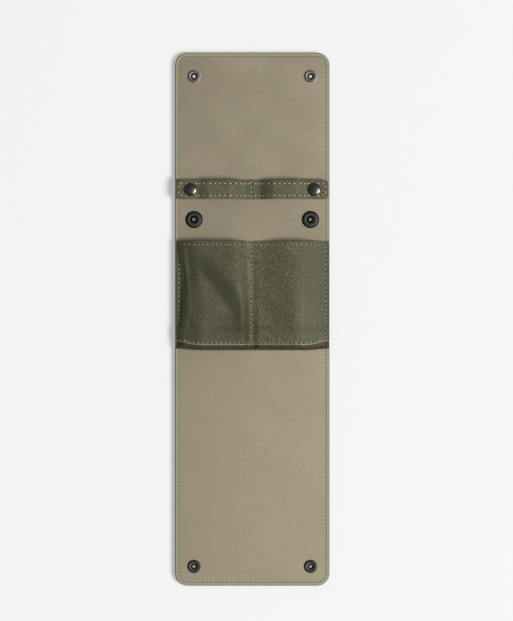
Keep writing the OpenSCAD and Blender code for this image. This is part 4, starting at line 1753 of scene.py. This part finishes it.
@dataclass
class Strap:
    """The retaining strap: two halves of face and backing leather that bow up from the lining."""

    leather: float = 1.2 * MM
    seat: float = 4.0 * MM
    bow_h: float = 5.7 * MM
    bow_rise: float = 13.0 * MM
    bow_start_fall: float = 30.0 * MM
    bow_fall: float = 9.0 * MM
    snap_gap: float = 2.8 * MM
    corner: float = 2.5 * MM
    stitch_in: float = 2.5 * MM
    end_stitch_in: float = 2.0 * MM
    middle_row: float = 0.6 * MM
    first_stitch: float = 0.5 * MM
    edge_left: float = 0.1 * MM
    sunk: float = 0.03 * MM
    edge_radius: float = 0.22 * MM
    half_bend: float = 1.5 * MM
    step: float = 0.75 * MM

    def __post_init__(self) -> None:
        """Takes the strap's sizes from the frame."""
        low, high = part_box("strap_right_face")
        self.half_width = (high.y - low.y) / 2
        self.end = high.x
        self.y = (high.y + low.y) / 2
        self.z_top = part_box("lining_base")[1].z

    def rise(self, x: np.ndarray) -> np.ndarray:
        """Height of the strap's underside over the lining."""
        return (self.bow_h * ramp((x - self.seat) / self.bow_rise)
                - (self.bow_h - self.snap_gap) * ramp((x - self.bow_start_fall) / self.bow_fall))

    def bent(self, x: np.ndarray, over: np.ndarray) -> tuple[np.ndarray, np.ndarray, np.ndarray]:
        """Bends a flat place onto the bow.

        Args:
            x: Places along the half strap.
            over: Heights over its underside.

        Returns:
            The place along, the height, and the slope there.
        """
        e = 0.05 * MM
        slope = (self.rise(x + e) - self.rise(x - e)) / (2 * e)
        k = np.sqrt(1 + slope ** 2)
        return x - over * slope / k, self.z_top + self.rise(x) + over / k, slope

    def layer(self, name: str, sign: int, under: float, finishes: Finishes, grain: bool) -> bpy.types.Object:
        """Cuts one leather of a half strap flat, and bends it to the bow.

        Args:
            name: Name of the piece.
            sign: 1 for the right half, -1 for the left.
            under: Height of its underside over the strap's.
            finishes: The materials.
            grain: Whether it is the grained face leather.

        Returns:
            The leather.
        """
        piece = Bench.rectangle(name, self.end / 2, self.half_width, (self.end / 2, 0, under + self.leather))
        Bench.pick_points(piece, lambda co: co.x > self.end / 2)
        bpy.ops.mesh.bevel(affect="VERTICES", offset=self.corner, segments=8)
        for i in range(1, int(self.end / self.step)):
            Bench.cut((i * self.step, 0, 0), (1, 0, 0))
        for row in (-1, 0, 1):
            Bench.cut((0, row * (self.half_width - self.stitch_in), 0), (0, 1, 0))
        Bench.close()
        Bench.apply(piece, "SOLIDIFY", thickness=self.leather, offset=-1)
        Bench.round_edges(piece, self.edge_radius, 2)
        co = np.array([v.co[:] for v in piece.data.vertices])
        x, z, _ = self.bent(co[:, 0], co[:, 2])
        flat = np.stack([sign * x, co[:, 1] + self.y, z], axis=1)
        piece.data.vertices.foreach_set("co", flat.ravel())
        piece.data.update()
        Bench.face_outwards(piece)
        Bench.smooth(piece)
        main = finishes.strap if grain else finishes.backing
        Bench.paint(piece, (main, finishes.edge), lambda n, _: int(abs(n.z) < 0.5))
        return piece

    def stitches(self, name: str, sign: int, finishes: Finishes) -> bpy.types.Object:
        """Sews the border of a half strap, and on the left one the row that holds the strap's middle.

        Args:
            name: Name of the piece.
            sign: 1 for the right half, -1 for the left.
            finishes: The materials.

        Returns:
            The rows of stitches.
        """
        work = Seamwork(hole_width=1.0 * MM)
        start, end = self.first_stitch, self.end - self.end_stitch_in
        side, edge = self.half_width - self.stitch_in, self.half_width - self.edge_left
        lines = [((start, -side, 0), (end, -side, 0)), ((end, -side, 0), (end, side, 0)),
                 ((end, side, 0), (start, side, 0))]
        if sign < 0:
            lines.append(((self.middle_row, -edge, 0), (self.middle_row, edge, 0)))
        spots = [work.row(a, b) for a, b in lines]
        flat, along = np.concatenate([s[0] for s in spots]), np.concatenate([s[1] for s in spots])
        over = np.full(len(flat), 2 * self.leather - self.sunk)
        x, z, slope = self.bent(flat[:, 0], over)
        places = np.stack([sign * x, flat[:, 1] + self.y, z], axis=1)
        way = np.stack([sign * along[:, 0], along[:, 1], along[:, 0] * slope], axis=1)
        up = np.stack([-sign * slope, np.zeros_like(x), np.ones_like(x)], axis=1)
        return work.sew(name, places, way, up, (finishes.strap_thread, finishes.hole))

    def build(self, finishes: Finishes) -> None:
        """Builds both halves, each bowed up from where the strap is sewn down.

        Args:
            finishes: The materials.
        """
        for side, sign in (("left", -1), ("right", 1)):
            back = self.layer(f"strap_backing_{side}", sign, 0.0, finishes, False)
            face = self.layer(f"strap_leather_{side}", sign, self.leather, finishes, True)
            rows = self.stitches(f"strap_seam_{side}", sign, finishes)
            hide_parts(f"strap_{side}_face", "strap_middle_face")
            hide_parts(f"strap_{side}_back", "strap_middle_back")
            for piece, slot in ((back, "olive_backing"), (face, "olive_leather"), (rows, "olive_leather")):
                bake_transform(piece)
                log.info("%s: %d faces", piece.name, len(piece.data.polygons))


@dataclass
class SnapSet:
    """Finishes of the turned snap parts, which stay as the frame has them."""

    ringed: tuple[str, ...] = ("stud_mid", "stud_strap", "stud_bottom", "socket_top", "socket_bottom",
                               "socket_strap")
    glint_start: float = 0.9 * MM
    glint_full: float = 0.6 * MM

    def build(self, finishes: Finishes) -> None:
        """Gives each snap part and board its material.

        Args:
            finishes: The materials.
        """
        kinds = {"post": finishes.bright, "spring": finishes.bronze, "board": finishes.board}
        for pair, up in (("cap_top", 1), ("cap_strap", -1)):
            low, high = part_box(f"{pair}_right")
            end = high.z if up > 0 else low.z
            kinds[pair] = finishes.cap(pair, (end - up * self.glint_start, end - up * self.glint_full))
        for pair in self.ringed:
            kind, place = pair.split("_")
            low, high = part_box(f"{pair}_right")
            make = finishes.stud if kind == "stud" else finishes.socket
            kinds[pair] = make(place, (low + high) / 2)
        for name, node in frame["nodes"].items():
            kind = next((k for k in kinds if name.startswith(k)), None)
            if kind:
                Bench.paint(node, (kinds[kind],))
                log.info("%s: %s", name, kinds[kind].name)


@dataclass
class Studio:
    """Pale floor, soft light and the camera straight above."""

    centre: tuple[float, float] = (3.0 * MM, 6.2 * MM)
    frame_height: float = 443.6 * MM
    camera_height: float = 2.4
    floor_size: float = 6.0
    glow_share: float = 0.38
    key_place: tuple[float, float, float] = (3.60, -1.16, 5.44)
    key_size: float = 2.5
    key_watts: float = 430
    sky_strength: float = 0.22

    def floor(self) -> None:
        """Lays the floor on which the roll lies."""
        bpy.ops.object.select_all(action="DESELECT")
        bpy.ops.mesh.primitive_plane_add(size=self.floor_size)
        piece = Bench.name("floor")
        r = Recipe("pale_floor")
        grain = r.noise(r.place(), 60, 2, 0.5)
        tone = r.mix(grain, srgb(244, 244, 243), srgb(246, 246, 245))
        lit = r.wire("ShaderNodeBsdfPrincipled", None,
                     {"Base Color": tone, "Roughness": 0.9, "Specular IOR Level": 0.1})
        glow = r.wire("ShaderNodeEmission", None, {"Color": srgb(245, 245, 244), "Strength": 1.0})
        ray = r.node("ShaderNodeLightPath")
        seen = Wire(r, ray.outputs["Is Camera Ray"]).maths("MAXIMUM", Wire(r, ray.outputs["Is Glossy Ray"]))
        seen = seen.maths("MAXIMUM", Wire(r, ray.outputs["Is Transmission Ray"]))
        pale = r.wire("ShaderNodeMixShader", None, {0: seen * self.glow_share, 1: lit, 2: glow})
        r.node("ShaderNodeOutputMaterial", None, {"Surface": pale})
        Bench.paint(piece, (r.material,))

    def lamp(self, name: str, place: Vector, size: float, watts: float) -> None:
        """Hangs a soft lamp that faces the roll.

        Args:
            name: Its name.
            place: Its place in metres.
            size: Side of its square face.
            watts: Its power.
        """
        data = bpy.data.lights.new(name, "AREA")
        data.size = size
        data.energy = watts
        lamp = bpy.data.objects.new(name, data)
        lamp.location = place
        lamp.rotation_euler = (-place).to_track_quat("-Z", "Y").to_euler()
        bpy.context.scene.collection.objects.link(lamp)

    def build(self) -> None:
        """Sets the stage."""
        self.floor()
        self.lamp("key_lamp", Vector(self.key_place), self.key_size, self.key_watts)
        world = bpy.data.worlds.new("studio")
        world.use_nodes = True
        sky = world.node_tree.nodes["Background"].inputs
        sky["Color"].default_value = (1, 1, 1, 1)
        sky["Strength"].default_value = self.sky_strength
        bpy.context.scene.world = world
        lens = bpy.data.cameras.new("camera")
        lens.sensor_fit = "VERTICAL"
        lens.angle = 2 * math.atan(self.frame_height / 2 / self.camera_height)
        camera = bpy.data.objects.new("camera", lens)
        camera.location = (self.centre[0], self.centre[1], self.camera_height)
        bpy.context.scene.collection.objects.link(camera)
        bpy.context.scene.camera = camera
        bpy.context.scene.view_settings.view_transform = "Standard"


def main() -> None:
    """Builds the roll on its frame."""
    logging.basicConfig(level=logging.INFO, format="%(name)s: %(message)s")
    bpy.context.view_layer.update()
    panel = Panel()
    finishes = Finishes(panel)
    panel.build(finishes)
    Pocket().build(finishes)
    Strap().build(finishes)
    SnapSet().build(finishes)
    Studio().build()
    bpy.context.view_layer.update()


if __name__ == "__main__":
    main()
